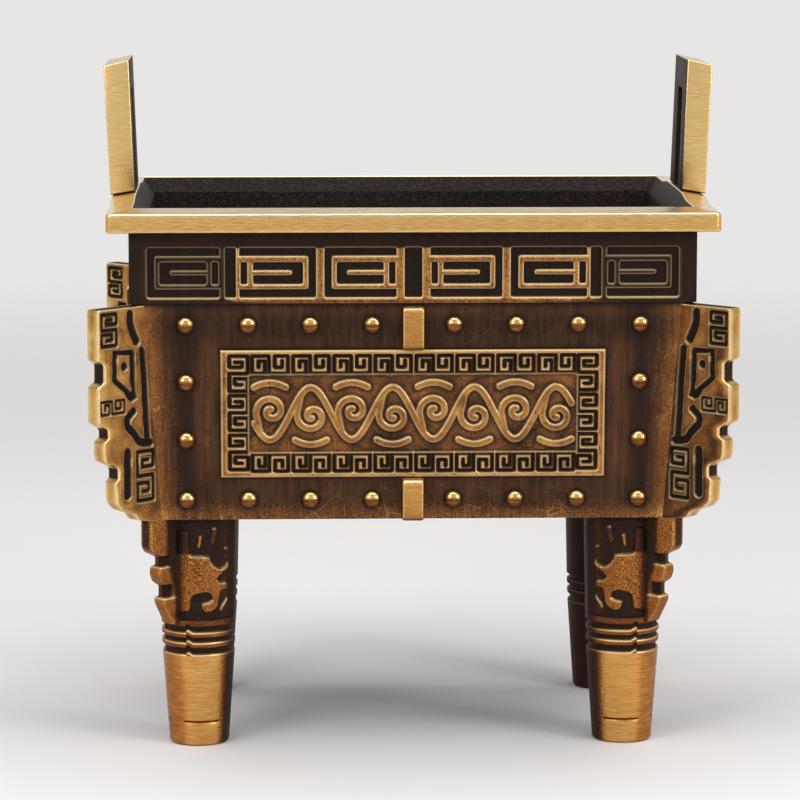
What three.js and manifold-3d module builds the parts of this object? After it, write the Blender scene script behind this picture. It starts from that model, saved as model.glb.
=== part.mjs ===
// Square four-legged ding cauldron: a rectangular vessel of four mitred walls under a rim frame,
// with two upright loop handles, corner flanges, centre lugs, framed plaques and column legs.
// Millimetres, +Z up, X along the long side. The origin is on the ground, midway between the feet.
import * as THREE from "three";
import { mergeVertices } from "three/addons/utils/BufferGeometryUtils.js";
import Module from "manifold-3d";

const wasm = await Module();
wasm.setup();

// Driving dimensions

// Rim
const rimLength = 200;
const rimWidth = 140;
const rimTopBreadth = 8.4;
const rimBottom = 174.2;
const rimFaceHeight = 6.2;
const rimTopRise = 1.4;
const rimLipHeight = 2;
const rimEdgeBevel = 0.4;
const rimCornerChamfer = 1.2;
const handleSeatRise = 1.5;
const handleSeatRun = 20;
const handleSeatMargin = 2;

// Walls. An inset is the distance in from the rim's outer face, the same on all four sides.
const wallThickness = 5;
const friezeInset = 7.2;
const friezeHeight = 23.7;
const friezeStep = 0.9;
const bodyBottom = 78;
const bottomInset = 13.2;
const mitreGap = 0.3;

// Frieze. Bands and slots are heights above the frieze's lower edge.
const friezeDepth = 0.75;
const friezeGroove = { low: 2, high: 18.2 };
const friezeBand = { low: 4.6, high: 15.7 };
const friezeHeart = { low: 6.4, high: 13.5 };
const friezeBar = { low: 9.2, high: 11 };
const friezeCellEnds = { open: 0.6, closed: 24 };
const friezeSlotRun = { from: 1, to: 2.9 };
const friezeHeartRun = { from: 4.8, to: 19.5 };
const friezeBarEnd = 16.9;
const friezeBandRun = 21.8;
const friezeCellLength = 24.35;
const friezeCells = [
  { start: 5, length: friezeCellLength, opensInward: true },
  { start: 31.5, length: 25.9, opensInward: false },
  { start: 62.8, length: friezeCellLength, opensInward: true },
];
const friezeCentreBreadth = 5.6;
const friezeDivider = { from: 58, to: 61.4 };
const friezeEndMargin = 4;

// Bosses
const bossRadius = 2.6;
const bossHeight = 2.1;
const bossShoulder = 1.9;
const bossShoulderHeight = 1.4;
const bossCornerMargin = 17.3;
const bossTopMargin = 7.2;
const bossBottomMargin = 6.7;
const bossRowShares = [1, 0.674, 0.343, 0];
const longBossColumns = 4;
const shortBossColumns = 3;
const bossCentreOffset = 13.4;

// Plaques and lugs
const plaqueTopMargin = 15.5;
const plaqueBottomMargin = 14.4;
const plaqueProud = 1;
const plaqueBevel = 0.5;
const plaqueEndMargin = 28.7;
const plaqueBorder = 9.4;
const plaqueFieldDepth = 0.4;
const pocketDepth = 1.2;
const lugWidth = 7.2;
const lugProud = 4.5;
const lugBevel = 1.2;
const lugTopClearance = 0.8;

// Corner flanges. Edge points are [reach beyond the rim's corner, share of the flange's height].
const flangeThickness = 5.5;
const flangeTopDrop = 0.7;
const flangeTongue = 3.2;
const flangeFootRun = 5;
const flangeEdgeBevel = 0.6;
const flangeReach = 6.2;
const flangeEdge = [
  [flangeReach, 0.773],
  [3.4, 0.749],
  [3.4, 0.668],
  [flangeReach, 0.648],
  [flangeReach, 0.487],
  [2.8, 0.46],
  [1.7, 0.448],
  [1.7, 0.412],
  [3.9, 0.394],
  [3.9, 0.334],
  [3.1, 0.305],
  [-1.5, 0.278],
  [-2.5, 0.265],
  [-2.5, 0.217],
  [-1, 0.206],
  [-1.5, 0.107],
  [-4, 0.074],
  [-9.3, 0.047],
  [-11.4, 0.013],
];

// Flange carving, as centre lines [reach, share of the flange's height]
const carvingDepth = 0.8;
const eyeBreadth = 2;
const grooveBreadth = 2.8;
const flangeEye = [
  [-1.2, 0.798],
  [-1.2, 0.674],
  [-5.6, 0.622],
  [-7.2, 0.592],
  [-9.6, 0.59],
  [-8.9, 0.79],
];
const flangePupil = { reach: -5.4, share: 0.735, radius: 1.2 };
const flangeGrooves = [
  [[-8.2, 0.978], [-8.1, 0.929], [-9.4, 0.882], [-11, 0.836]],
  [[-13.2, 0.806], [-14.9, 0.485], [-15.4, 0.385]],
  [[-9.2, 0.523], [-6.7, 0.495], [-6.8, 0.454], [-9.7, 0.418], [-11.7, 0.376]],
  [[-6.6, 0.354], [-6.4, 0.12]],
];
const flangePanels = [
  [[-2.8, 0.983], [4.8, 0.824]],
  [[-6, 0.585], [4.7, 0.525]],
  [[-18.4, 0.339], [-10.5, 0.084]],
];

// Handles
const handleWidth = 38;
const handleTop = 227.5;
const handleTopSlope = 0.23;
const handleFootThickness = 8.1;
const handleTopThickness = 8.5;
const handleLean = 0.047;
const handleFootProud = 0.3;
const handleHoleWidth = 14;
const handleBridge = 10.5;
const handleHoleRadius = 2.5;
const tenonLength = 8;
const tenonBreadth = 4;
const tenonDepth = 3;

// Floor and legs. Spine points are [reach from the leg's axis, share of the spine's height].
const floorThickness = 5;
const legInset = 28.7;
const legTopRadius = 13.3;
const legRingRadius = 12.4;
const footTopRadius = 12.1;
const footBottomRadius = 9.9;
const footRounding = 1.2;
const ringGrooveDepth = 0.9;
const ringGrooveSlope = 0.4;
const ringGrooves = [
  { top: 41, bottom: 39.2 },
  { top: 37.4, bottom: 35.7 },
  { top: 33.9, bottom: 31.6 },
];
const maskRecess = 0.8;
const maskBandMargin = { top: 1, bottom: 2.2 };
const maskAngle = 50;
const maskReliefRadius = 13;
const spineThickness = 5.2;
const spineRise = 0.4;
const spineOutline = [
  [23.9, 1],
  [23.9, 0.795],
  [22, 0.7],
  [18.5, 0.66],
  [18, 0.65],
  [18, 0.571],
  [20.6, 0.555],
  [21, 0.495],
  [19.8, 0.426],
  [17.6, 0.396],
  [17, 0.388],
  [17, 0.276],
  [18.8, 0.268],
  [18.5, 0.221],
  [16.5, 0.112],
  [11.4, 0],
];
const spigotRadius = 5;
const spigotHeight = 3;

// Mask relief on the legs, as [degrees round from the spine, height above the rings]
const maskOutline = [
  [4, 25.4],
  [33, 24],
  [60, 23.6],
  [68, 21.6],
  [80, 19.4],
  [90, 19.8],
  [76, 16],
  [90, 14.2],
  [81, 9.6],
  [69, 5.5],
  [56, 5],
  [50, 7],
  [64, 9.8],
  [60, 12.4],
  [46, 12.4],
  [34, 10.2],
  [31.7, 5.5],
  [4, 5.4],
];

// Fit between separate pieces
const seatGap = 0.3;

// Facet counts
const roundSteps = 22;
const bossSteps = 8;
const pupilSteps = 8;
const holeSteps = 6;

// Derived sizes

const halfLength = rimLength / 2;
const halfWidth = rimWidth / 2;
const rimOuterTop = rimBottom + rimFaceHeight;
const rimInnerTop = rimOuterTop + rimTopRise;
const friezeBottom = rimBottom - friezeHeight;
const plaqueTop = friezeBottom - plaqueTopMargin;
const plaqueBottom = bodyBottom + plaqueBottomMargin;
const flangeTop = friezeBottom - flangeTopDrop;
const handleHoleTop = handleTop - handleBridge;
const ringTop = ringGrooves[0].top;
const ringLow = ringGrooves[ringGrooves.length - 1].bottom;
const panelTopInset = friezeInset + friezeStep;
const panelLean = (bottomInset - panelTopInset) / (friezeBottom - bodyBottom);
const panelAngle = Math.atan(panelLean);
const diagonal = Math.SQRT2;
const bossTopRow = friezeBottom - bossTopMargin;
const bossBottomRow = bodyBottom + bossBottomMargin;
const bossRows = bossRowShares.map((share) => bossBottomRow + share * (bossTopRow - bossBottomRow));

// A value read between the points [at, value] of a rising table.
function between(table, at) {
  const next = Math.max(1, table.findIndex(([place]) => place >= at));
  const [place0, value0] = table[next - 1];
  const [place1, value1] = table[next];
  return value0 + ((value1 - value0) * (at - place0)) / (place1 - place0);
}

// Inset of the wall's outer panel face at a height.
function panelInset(z) {
  return panelTopInset + (friezeBottom - z) * panelLean;
}

// Materials

function metal(name, colour, roughness, metalness) {
  const material = new THREE.MeshStandardMaterial({ color: colour, roughness, metalness });
  material.name = name;
  return material;
}

const brushedBrass = metal("brushed_brass", 0xc9a15c, 0.32, 1);
const darkBronze = metal("dark_bronze", 0x4a352a, 0.45, 0.9);
const goldenBronze = metal("golden_bronze", 0xa67843, 0.4, 1);

// Solids: closed geometry becomes a solid, is joined or cut, and goes back to geometry.

function solid(geometry, matrix) {
  const bare = geometry.clone();
  bare.deleteAttribute("normal");
  bare.deleteAttribute("uv");
  if (matrix) bare.applyMatrix4(matrix);
  const merged = mergeVertices(bare, 1e-4);
  return new wasm.Manifold(
    new wasm.Mesh({
      numProp: 3,
      vertProperties: new Float32Array(merged.attributes.position.array),
      triVerts: new Uint32Array(merged.index.array),
    }),
  );
}

function geometryOf(body) {
  const mesh = body.getMesh();
  const indexed = new THREE.BufferGeometry();
  indexed.setAttribute("position", new THREE.BufferAttribute(mesh.vertProperties, 3));
  indexed.setIndex(new THREE.BufferAttribute(mesh.triVerts, 1));
  const faceted = indexed.toNonIndexed();
  faceted.computeVertexNormals();
  return faceted;
}

function shapeOf(points) {
  return new THREE.Shape(points.map(([x, y]) => new THREE.Vector2(x, y)));
}

// A profile given as [out, up] points, drawn along X and centred on it.
function bar(points, length) {
  const flat = new THREE.ExtrudeGeometry(shapeOf(points), {
    depth: length,
    bevelEnabled: false,
    });
  const turn = new THREE.Matrix4().makeBasis(
    new THREE.Vector3(0, 1, 0),
    new THREE.Vector3(0, 0, 1),
    new THREE.Vector3(1, 0, 0),
  );
  return flat.applyMatrix4(turn).translate(-length / 2, 0, 0);
}

// A plate drawn in the upright plane, given as a shape of (along X, up Z), thick along Y about 0.
function uprightPlate(shape, thickness) {
  const flat = new THREE.ExtrudeGeometry(shape, {
    depth: thickness,
    bevelEnabled: false,
    curveSegments: holeSteps,
  });
  return flat.rotateX(Math.PI / 2).translate(0, thickness / 2, 0);
}

// A plate lying flat, given as an outline in X and Y, from one height to another.
function flatPlate(points, low, high) {
  const flat = new THREE.ExtrudeGeometry(shapeOf(points), {
    depth: high - low,
    bevelEnabled: false,
  });
  return flat.translate(0, 0, low);
}

// Places

const longSide = { halfSpan: halfWidth, halfAlong: halfLength, columns: longBossColumns };
const shortSide = { halfSpan: halfLength, halfAlong: halfWidth, columns: shortBossColumns };
const sides = [
  { name: "back", turn: 0, ...longSide },
  { name: "front", turn: Math.PI, ...longSide },
  { name: "right", turn: -Math.PI / 2, ...shortSide },
  { name: "left", turn: Math.PI / 2, ...shortSide },
];

const corners = [
  { name: "back_right", x: 1, y: 1 },
  { name: "back_left", x: -1, y: 1 },
  { name: "front_left", x: -1, y: -1 },
  { name: "front_right", x: 1, y: -1 },
];

const cauldron = new THREE.Group();
cauldron.name = "square_ding_cauldron";

function node(name, geometry, material, parent) {
  const mesh = new THREE.Mesh(geometry, material);
  mesh.name = name;
  parent.add(mesh);
  return mesh;
}

// A group whose +Y looks out of one side of the vessel.
function sideGroup(side) {
  const group = new THREE.Group();
  group.rotation.z = side.turn;
  cauldron.add(group);
  return group;
}

// A group on one vertical edge, whose +X looks out along the corner's diagonal.
function cornerGroup(corner, inset) {
  const group = new THREE.Group();
  group.position.set(corner.x * (halfLength - inset), corner.y * (halfWidth - inset), 0);
  group.rotation.z = Math.atan2(corner.y, corner.x);
  cauldron.add(group);
  return group;
}

// The leaning panel's own frame on a side: X along, Y out of the panel, Z up its slope.
function panelMatrix(side) {
  const turned = new THREE.Matrix4().makeRotationX(-panelAngle);
  turned.setPosition(0, side.halfSpan - panelInset(plaqueBottom), plaqueBottom);
  return turned;
}

// Height up the panel's slope, measured from the plaque's lower edge.
function upPanel(z) {
  return (z - plaqueBottom) / Math.cos(panelAngle);
}

// Carving: a groove is a ribbon of one breadth along a centre line

// The ribbon's outline, with mitred turns. A closed line gives the outer and the inner outline.
function ribbonSides(path, breadth, closed) {
  const count = path.length;
  const offset = (index, hand) => {
    const here = path[index];
    const back = closed ? path[(index + count - 1) % count] : path[Math.max(index - 1, 0)];
    const ahead = closed ? path[(index + 1) % count] : path[Math.min(index + 1, count - 1)];
    const point = new THREE.Vector2(...here);
    const first = point.clone().sub(new THREE.Vector2(...back)).normalize();
    const second = new THREE.Vector2(...ahead).sub(point).normalize();
    const along = first.clone().add(second).normalize();
    const mitre = Math.max(along.dot(first), along.dot(second));
    const normal = new THREE.Vector2(-along.y, along.x);
    return point.add(normal.multiplyScalar((hand * breadth) / 2 / mitre)).toArray();
  };
  const stops = path.map((point, index) => index);
  return [stops.map((index) => offset(index, 1)), stops.map((index) => offset(index, -1))];
}

function ribbon(path, breadth) {
  const [left, right] = ribbonSides(path, breadth, false);
  return shapeOf([...left, ...right.reverse()]);
}

function loop(path, breadth) {
  const [left, right] = ribbonSides(path, breadth, true);
  const [outer, inner] = outlineArea(left) > outlineArea(right) ? [left, right] : [right, left];
  const shape = shapeOf(outer);
  shape.holes.push(shapeOf([...inner].reverse()));
  return shape;
}

function outlineArea(points) {
  return Math.abs(THREE.ShapeUtils.area(points.map(([x, y]) => new THREE.Vector2(x, y))));
}

function disc([x, y], radius) {
  const turns = Array.from({ length: pupilSteps }, (_, step) => (2 * Math.PI * step) / pupilSteps);
  return shapeOf(turns.map((turn) => [x + radius * Math.cos(turn), y + radius * Math.sin(turn)]));
}

function rectangle([[x0, y0], [x1, y1]]) {
  return shapeOf([
    [x0, y0],
    [x1, y0],
    [x1, y1],
    [x0, y1],
  ]);
}

// Corner flange: a plate on the diagonal with hooked lobes and notches, tongued into the corner

// The height at a share of the flange's height.
function flangeHeight(share) {
  return bodyBottom + share * (flangeTop - bodyBottom);
}

function flangeRoot(z) {
  return -(panelInset(z) + flangeTongue) * diagonal;
}

// Outline as [out along the diagonal from the rim's corner, height].
function flangeProfile() {
  return [
    [flangeRoot(flangeTop), flangeTop],
    [flangeReach - flangeEdgeBevel, flangeTop],
    [flangeReach, flangeTop - flangeEdgeBevel],
    ...flangeEdge.map(([reach, share]) => [reach, flangeHeight(share)]),
    [flangeRoot(bodyBottom) + flangeFootRun, bodyBottom],
    [flangeRoot(bodyBottom), bodyBottom],
  ];
}

function flangeCarving() {
  const place = (points) => points.map(([reach, share]) => [reach, flangeHeight(share)]);
  return [
    loop(place(flangeEye), eyeBreadth),
    ...flangeGrooves.map((path) => ribbon(place(path), grooveBreadth)),
    ...flangePanels.map((box) => rectangle(place(box))),
    disc([flangePupil.reach, flangeHeight(flangePupil.share)], flangePupil.radius),
  ];
}

function flange() {
  let body = solid(uprightPlate(shapeOf(flangeProfile()), flangeThickness));
  for (const shape of flangeCarving())
    for (const face of [-1, 1]) {
      const cut = uprightPlate(shape, 2 * carvingDepth);
      body = body.subtract(solid(cut.translate(0, (face * flangeThickness) / 2, 0)));
    }
  return geometryOf(body);
}

// What a wall gives up to a flange: the tongue with its clearance, and everything outside it.
function flangeSlot() {
  const root = (z) => flangeRoot(z) - seatGap;
  const far = flangeReach + flangeTongue;
  const top = flangeTop + seatGap;
  const low = bodyBottom - seatGap;
  const outline = [
    [root(low), low],
    [far, low],
    [far, top],
    [root(top), top],
  ];
  return uprightPlate(shapeOf(outline), flangeThickness + 2 * seatGap);
}

// Walls: a frieze band over a leaning panel, mitred at the corners, with cast bosses

function wallProfile(side) {
  const out = side.halfSpan;
  return [
    [out - friezeInset, rimBottom],
    [out - friezeInset - wallThickness, rimBottom],
    [out - panelTopInset - wallThickness, friezeBottom],
    [out - bottomInset - wallThickness, bodyBottom],
    [out - bottomInset, bodyBottom],
    [out - panelTopInset, friezeBottom],
    [out - friezeInset, friezeBottom],
  ];
}

function mitreWedge(side) {
  const near = side.halfSpan;
  const deep = side.halfSpan - bottomInset - wallThickness - seatGap;
  const shift = side.halfAlong - side.halfSpan - (mitreGap / 2) * diagonal;
  const outline = [
    [-(near + shift), near],
    [-(deep + shift), deep],
    [deep + shift, deep],
    [near + shift, near],
  ];
  return flatPlate(outline, bodyBottom - seatGap, rimBottom + seatGap);
}

function boss() {
  const profile = [
    [0, -bossHeight],
    [bossRadius, -bossHeight],
    [bossRadius, 0],
    [bossShoulder, bossShoulderHeight],
    [0, bossHeight],
  ];
  const points = profile.map(([r, h]) => new THREE.Vector2(r, h));
  return new THREE.LatheGeometry(points, bossSteps);
}

// Boss centres on a side as [along, height]: a full top and bottom row, and the end columns.
function bossPlaces(side) {
  const endColumn = side.halfAlong - panelTopInset - bossCornerMargin;
  const pitch = (endColumn - bossCentreOffset) / (side.columns - 1);
  const places = [];
  bossRows.forEach((z, row) => {
    const full = row === 0 || row === bossRows.length - 1;
    for (let column = 0; column < side.columns; column++) {
      const along = bossCentreOffset + column * pitch;
      if (full || column === side.columns - 1) places.push([along, z], [-along, z]);
    }
  });
  return places;
}

// A pocket in the panel for a plate of the given half width and heights.
function pocket(halfAlong, low, high) {
  const box = new THREE.BoxGeometry(
    2 * (halfAlong + seatGap),
    2 * pocketDepth,
    high - low + 2 * seatGap,
  );
  return box.translate(0, 0, (low + high) / 2);
}

// Recesses of one frieze cell as outlines [run from its open end, height above the frieze's foot].
function friezeCell() {
  const { open, closed } = friezeCellEnds;
  const outer = [
    [open, friezeGroove.low],
    [closed, friezeGroove.low],
    [closed, friezeGroove.high],
    [open, friezeGroove.high],
    [open, friezeBand.high],
    [friezeBandRun, friezeBand.high],
    [friezeBandRun, friezeBand.low],
    [open, friezeBand.low],
  ];
  const heart = [
    [friezeHeartRun.from, friezeHeart.low],
    [friezeHeartRun.to, friezeHeart.low],
    [friezeHeartRun.to, friezeHeart.high],
    [friezeHeartRun.from, friezeHeart.high],
    [friezeHeartRun.from, friezeBar.high],
    [friezeBarEnd, friezeBar.high],
    [friezeBarEnd, friezeBar.low],
    [friezeHeartRun.from, friezeBar.low],
  ];
  const slot = [
    [friezeSlotRun.from, friezeHeart.low],
    [friezeSlotRun.to, friezeHeart.low],
    [friezeSlotRun.to, friezeHeart.high],
    [friezeSlotRun.from, friezeHeart.high],
  ];
  return [outer, heart, slot];
}

// All recesses of a side's frieze, as outlines [along the side, height].
function friezeRecesses(side) {
  const limit = side.halfAlong - friezeInset - friezeEndMargin;
  const box = (from, to) => [
    [from, friezeGroove.low],
    [to, friezeGroove.low],
    [to, friezeGroove.high],
    [from, friezeGroove.high],
  ];
  const half = friezeCentreBreadth / 2;
  const outlines = [box(-half, half)];
  for (const hand of [-1, 1]) {
    if (friezeDivider.to < limit) outlines.push(box(hand * friezeDivider.from, hand * friezeDivider.to));
    for (const cell of friezeCells.filter(({ start, length }) => start + length < limit + friezeEndMargin))
      for (const outline of friezeCell())
        outlines.push(
          outline.map(([run, up]) => {
            const share = run / friezeCellLength;
            const along = cell.start + cell.length * (cell.opensInward ? share : 1 - share);
            return [hand * along, up];
          }),
        );
  }
  return outlines;
}

function friezeCut(side, outline) {
  const plate = uprightPlate(shapeOf(outline), 2 * friezeDepth);
  return plate.translate(0, side.halfSpan - friezeInset, friezeBottom);
}

const upperLug = { low: plaqueTop + seatGap, high: friezeBottom - lugTopClearance };
const lowerLug = { low: bodyBottom, high: plaqueBottom - seatGap };

function wall(side) {
  const panel = panelMatrix(side);
  let body = solid(bar(wallProfile(side), 2 * side.halfAlong));
  body = body.intersect(solid(mitreWedge(side)));
  for (const end of [-1, 1]) {
    const place = new THREE.Matrix4().makeRotationZ(Math.PI / 2 - (end * Math.PI) / 4);
    place.setPosition(end * side.halfAlong, side.halfSpan, 0);
    body = body.subtract(solid(flangeSlot(), place));
  }
  const halfPlaque = side.halfAlong - panelTopInset - plaqueEndMargin;
  body = body.subtract(solid(pocket(halfPlaque, 0, upPanel(plaqueTop)), panel));
  for (const lug of [upperLug, lowerLug])
    body = body.subtract(solid(pocket(lugWidth / 2, upPanel(lug.low), upPanel(lug.high)), panel));
  for (const outline of friezeRecesses(side))
    body = body.subtract(solid(friezeCut(side, outline)));
  for (const [along, z] of bossPlaces(side)) {
    const place = panel.clone().multiply(new THREE.Matrix4().makeTranslation(along, 0, upPanel(z)));
    body = body.add(solid(boss(), place));
  }
  return geometryOf(body);
}

// Plaque: a bevelled plate let into the panel, with a sunk field inside its border

function plaque(side) {
  const halfAlong = side.halfAlong - panelTopInset - plaqueEndMargin;
  const height = upPanel(plaqueTop);
  const back = pocketDepth - seatGap;
  const edge = plaqueProud - plaqueBevel;
  const outline = [
    [-back, 0],
    [edge, 0],
    [plaqueProud, plaqueBevel],
    [plaqueProud, height - plaqueBevel],
    [edge, height],
    [-back, height],
  ];
  const field = new THREE.BoxGeometry(
    2 * (halfAlong - plaqueBorder),
    2 * plaqueFieldDepth,
    height - 2 * plaqueBorder,
  );
  const plate = solid(bar(outline, 2 * halfAlong));
  return geometryOf(plate.subtract(solid(field.translate(0, plaqueProud, height / 2))));
}

// Lug: a short upright flange on the centre line, bevelled at its ends

function lug(place) {
  const low = upPanel(place.low);
  const high = upPanel(place.high);
  const back = pocketDepth - seatGap;
  const outline = [
    [-back, low],
    [lugProud - lugBevel, low],
    [lugProud, low + lugBevel],
    [lugProud, high - lugBevel],
    [lugProud - lugBevel, high],
    [-back, high],
  ];
  return bar(outline, lugWidth);
}

// Rim frame: one mitred ring with a top that slopes outward and rises to a seat under each handle

// Section points as [inset, height, 1 where the point rises with the handle's seat].
const rimSection = [
  [rimEdgeBevel, rimBottom, 0],
  [friezeInset + wallThickness, rimBottom, 0],
  [friezeInset + wallThickness, rimBottom + rimLipHeight, 0],
  [rimTopBreadth, rimInnerTop - rimEdgeBevel, 1],
  [rimTopBreadth - rimEdgeBevel, rimInnerTop, 1],
  [rimEdgeBevel, rimOuterTop, 1],
  [0, rimOuterTop - rimEdgeBevel, 1],
  [0, rimBottom + rimEdgeBevel, 0],
];

// Stations round the rim at one inset, as [x, y, rise towards the handle's seat].
function rimStations(inset) {
  const x = halfLength - inset;
  const y = halfWidth - inset;
  const c = rimCornerChamfer;
  const seat = handleWidth / 2 + handleSeatMargin;
  const foot = seat + handleSeatRun;
  const side = [
    [x, -(y - c), 0],
    [x, -foot, 0],
    [x, -seat, handleSeatRise],
    [x, seat, handleSeatRise],
    [x, foot, 0],
    [x, y - c, 0],
    [x - c, y, 0],
  ];
  const farSide = side.map(([px, py, lift]) => [-px, -py, lift]);
  return [[x - c, -y, 0], ...side, [-(x - c), y, 0], ...farSide];
}

function rimRing() {
  const rings = rimSection.map(([inset, z, lifted]) =>
    rimStations(inset).map(([x, y, lift]) => [x, y, z + lifted * lift]),
  );
  const stations = rings[0].length;
  const position = rings.flat(2);
  const index = [];
  for (let i = 0; i < rings.length; i++) {
    const next = (i + 1) % rings.length;
    for (let j = 0; j < stations; j++) {
      const k = (j + 1) % stations;
      const a = i * stations + j;
      const b = i * stations + k;
      const c = next * stations + k;
      const d = next * stations + j;
      index.push(a, c, b, a, d, c);
    }
  }
  const geometry = new THREE.BufferGeometry();
  geometry.setAttribute("position", new THREE.Float32BufferAttribute(position, 3));
  geometry.setIndex(index);
  return geometry;
}

// Handle feet, where each leg of a handle stands on the rim
const handleLegBreadth = (handleWidth - handleHoleWidth) / 2;
const tenonAlong = (handleHoleWidth + handleLegBreadth) / 2;
const tenonInset = rimTopBreadth / 2;
const seatBase = rimOuterTop + handleSeatRise + rimTopRise / 2;

function tenon(clearance) {
  const box = new THREE.BoxGeometry(
    tenonLength + 2 * clearance,
    tenonBreadth + 2 * clearance,
    2 * (tenonDepth + clearance),
  );
  return box.translate(0, 0, seatBase);
}

function rim() {
  let body = solid(rimRing());
  for (const x of [-1, 1])
    for (const y of [-1, 1]) {
      const place = new THREE.Matrix4().makeRotationZ(Math.PI / 2);
      place.setPosition(x * (halfLength - tenonInset), y * tenonAlong, 0);
      body = body.subtract(solid(tenon(seatGap), place));
    }
  return geometryOf(body);
}

// Handle: an upright loop that leans out, its top face sloping outward

function handleProfile(side) {
  const footOut = side.halfSpan + handleFootProud;
  const footIn = footOut - handleFootThickness;
  const seat = rimOuterTop + handleSeatRise + seatGap;
  const slope = rimTopRise / rimTopBreadth;
  const outerTop = handleTop - handleTopSlope * handleTopThickness;
  const lean = handleLean * (outerTop - seat);
  return [
    [footOut, seat],
    [footOut + lean, outerTop],
    [footOut + lean - handleTopThickness, handleTop],
    [footIn, seat + slope * handleFootThickness],
  ];
}

function handleHole(side) {
  const half = handleHoleWidth / 2;
  const low = rimBottom;
  const r = handleHoleRadius;
  const shape = new THREE.Shape();
  shape.moveTo(-half, low);
  shape.lineTo(half, low);
  shape.lineTo(half, handleHoleTop - r);
  shape.absarc(half - r, handleHoleTop - r, r, 0, Math.PI / 2, false);
  shape.lineTo(-half + r, handleHoleTop);
  shape.absarc(-half + r, handleHoleTop - r, r, Math.PI / 2, Math.PI, false);
  shape.closePath();
  return uprightPlate(shape, 4 * handleTopThickness).translate(0, side.halfSpan, 0);
}

function handle(side) {
  let body = solid(bar(handleProfile(side), handleWidth));
  body = body.subtract(solid(handleHole(side)));
  for (const end of [-1, 1]) {
    const place = new THREE.Matrix4().makeTranslation(
      end * tenonAlong,
      side.halfSpan - tenonInset,
      0,
    );
    body = body.add(solid(tenon(0), place));
  }
  return geometryOf(body);
}

// Floor plate, with a blind socket over each leg

function floorPlate() {
  const inset = bottomInset + wallThickness + seatGap;
  const x = halfLength - inset;
  const y = halfWidth - inset;
  const outline = [
    [-x, -y],
    [x, -y],
    [x, y],
    [-x, y],
  ];
  let body = solid(flatPlate(outline, bodyBottom, bodyBottom + floorThickness));
  const socketDepth = spigotHeight + seatGap;
  for (const corner of corners) {
    const place = new THREE.Matrix4().makeTranslation(
      corner.x * (halfLength - legInset),
      corner.y * (halfWidth - legInset),
      bodyBottom,
    );
    const socket = new THREE.CylinderGeometry(
      spigotRadius + seatGap,
      spigotRadius + seatGap,
      2 * socketDepth,
      roundSteps,
    );
    body = body.subtract(solid(socket.rotateX(Math.PI / 2), place));
  }
  return geometryOf(body);
}

// Leg: a tapered column with three grooves, a mask in relief, a spine and a spigot on top

const legTaper = [
  [0, footBottomRadius],
  [ringLow, footTopRadius],
  [ringTop, legRingRadius],
  [bodyBottom, legTopRadius],
];

function legRadius(z) {
  return between(legTaper, z);
}

const maskBand = {
  low: ringTop + maskBandMargin.bottom,
  high: bodyBottom - maskBandMargin.top,
};

// A turned column from profile points [radius, height], closed on its axis.
function turned(profile) {
  const points = profile.map(([r, z]) => new THREE.Vector2(r, z));
  return new THREE.LatheGeometry(points, roundSteps).rotateX(Math.PI / 2);
}

function legColumn() {
  const profile = [
    [0, 0],
    [footBottomRadius - footRounding, 0],
    [legRadius(footRounding), footRounding],
  ];
  for (const groove of [...ringGrooves].reverse()) {
    profile.push([legRadius(groove.bottom), groove.bottom]);
    profile.push([legRadius(groove.bottom) - ringGrooveDepth, groove.bottom + ringGrooveSlope]);
    profile.push([legRadius(groove.top) - ringGrooveDepth, groove.top - ringGrooveSlope]);
    profile.push([legRadius(groove.top), groove.top]);
  }
  profile.push([legRadius(maskBand.low), maskBand.low]);
  profile.push([legRadius(maskBand.low) - maskRecess, maskBand.low + maskRecess]);
  profile.push([legRadius(maskBand.high) - maskRecess, maskBand.high - maskRecess]);
  profile.push([legRadius(maskBand.high), maskBand.high]);
  profile.push([legTopRadius, bodyBottom]);
  profile.push([spigotRadius, bodyBottom]);
  profile.push([spigotRadius, bodyBottom + spigotHeight]);
  profile.push([0, bodyBottom + spigotHeight]);
  return turned(profile);
}

// The column's skin over the mask band, out of which the relief is cut.
function maskSkin() {
  return turned([
    [0, maskBand.low],
    [legRadius(maskBand.low), maskBand.low],
    [legRadius(maskBand.high), maskBand.high],
    [0, maskBand.high],
  ]);
}

// The relief on one face of the spine: an outline seen square on, pushed out through the skin.
function maskRelief(hand) {
  const outline = maskOutline.map(([degrees, rise]) => {
    const angle = THREE.MathUtils.degToRad(degrees - maskAngle);
    return [hand * maskReliefRadius * Math.sin(angle), ringTop + rise];
  });
  const prism = uprightPlate(shapeOf(outline), legTopRadius).translate(0, legTopRadius, 0);
  return prism.rotateZ(THREE.MathUtils.degToRad(hand * maskAngle) - Math.PI / 2);
}

// Outline as [out from the leg's axis along the diagonal, height].
function spineProfile() {
  const low = ringTop + spineRise;
  return [
    [0, bodyBottom],
    ...spineOutline.map(([reach, share]) => [reach, low + share * (bodyBottom - low)]),
    [0, low],
  ];
}

function leg() {
  let body = solid(legColumn());
  for (const hand of [-1, 1])
    body = body.add(solid(maskSkin()).intersect(solid(maskRelief(hand))));
  return geometryOf(body.add(solid(uprightPlate(shapeOf(spineProfile()), spineThickness))));
}

// Assembly

node("rim_frame", rim(), brushedBrass, cauldron);
node("floor_plate", floorPlate(), darkBronze, cauldron);

for (const side of sides) {
  const group = sideGroup(side);
  node(side.name + "_wall", wall(side), darkBronze, group);
  const panel = new THREE.Group();
  panelMatrix(side).decompose(panel.position, panel.quaternion, panel.scale);
  group.add(panel);
  node(side.name + "_plaque", plaque(side), goldenBronze, panel);
  node(side.name + "_upper_lug", lug(upperLug), brushedBrass, panel);
  node(side.name + "_lower_lug", lug(lowerLug), brushedBrass, panel);
  if (side.halfSpan === halfLength)
    node(side.name + "_handle", handle(side), brushedBrass, group);
}

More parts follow.
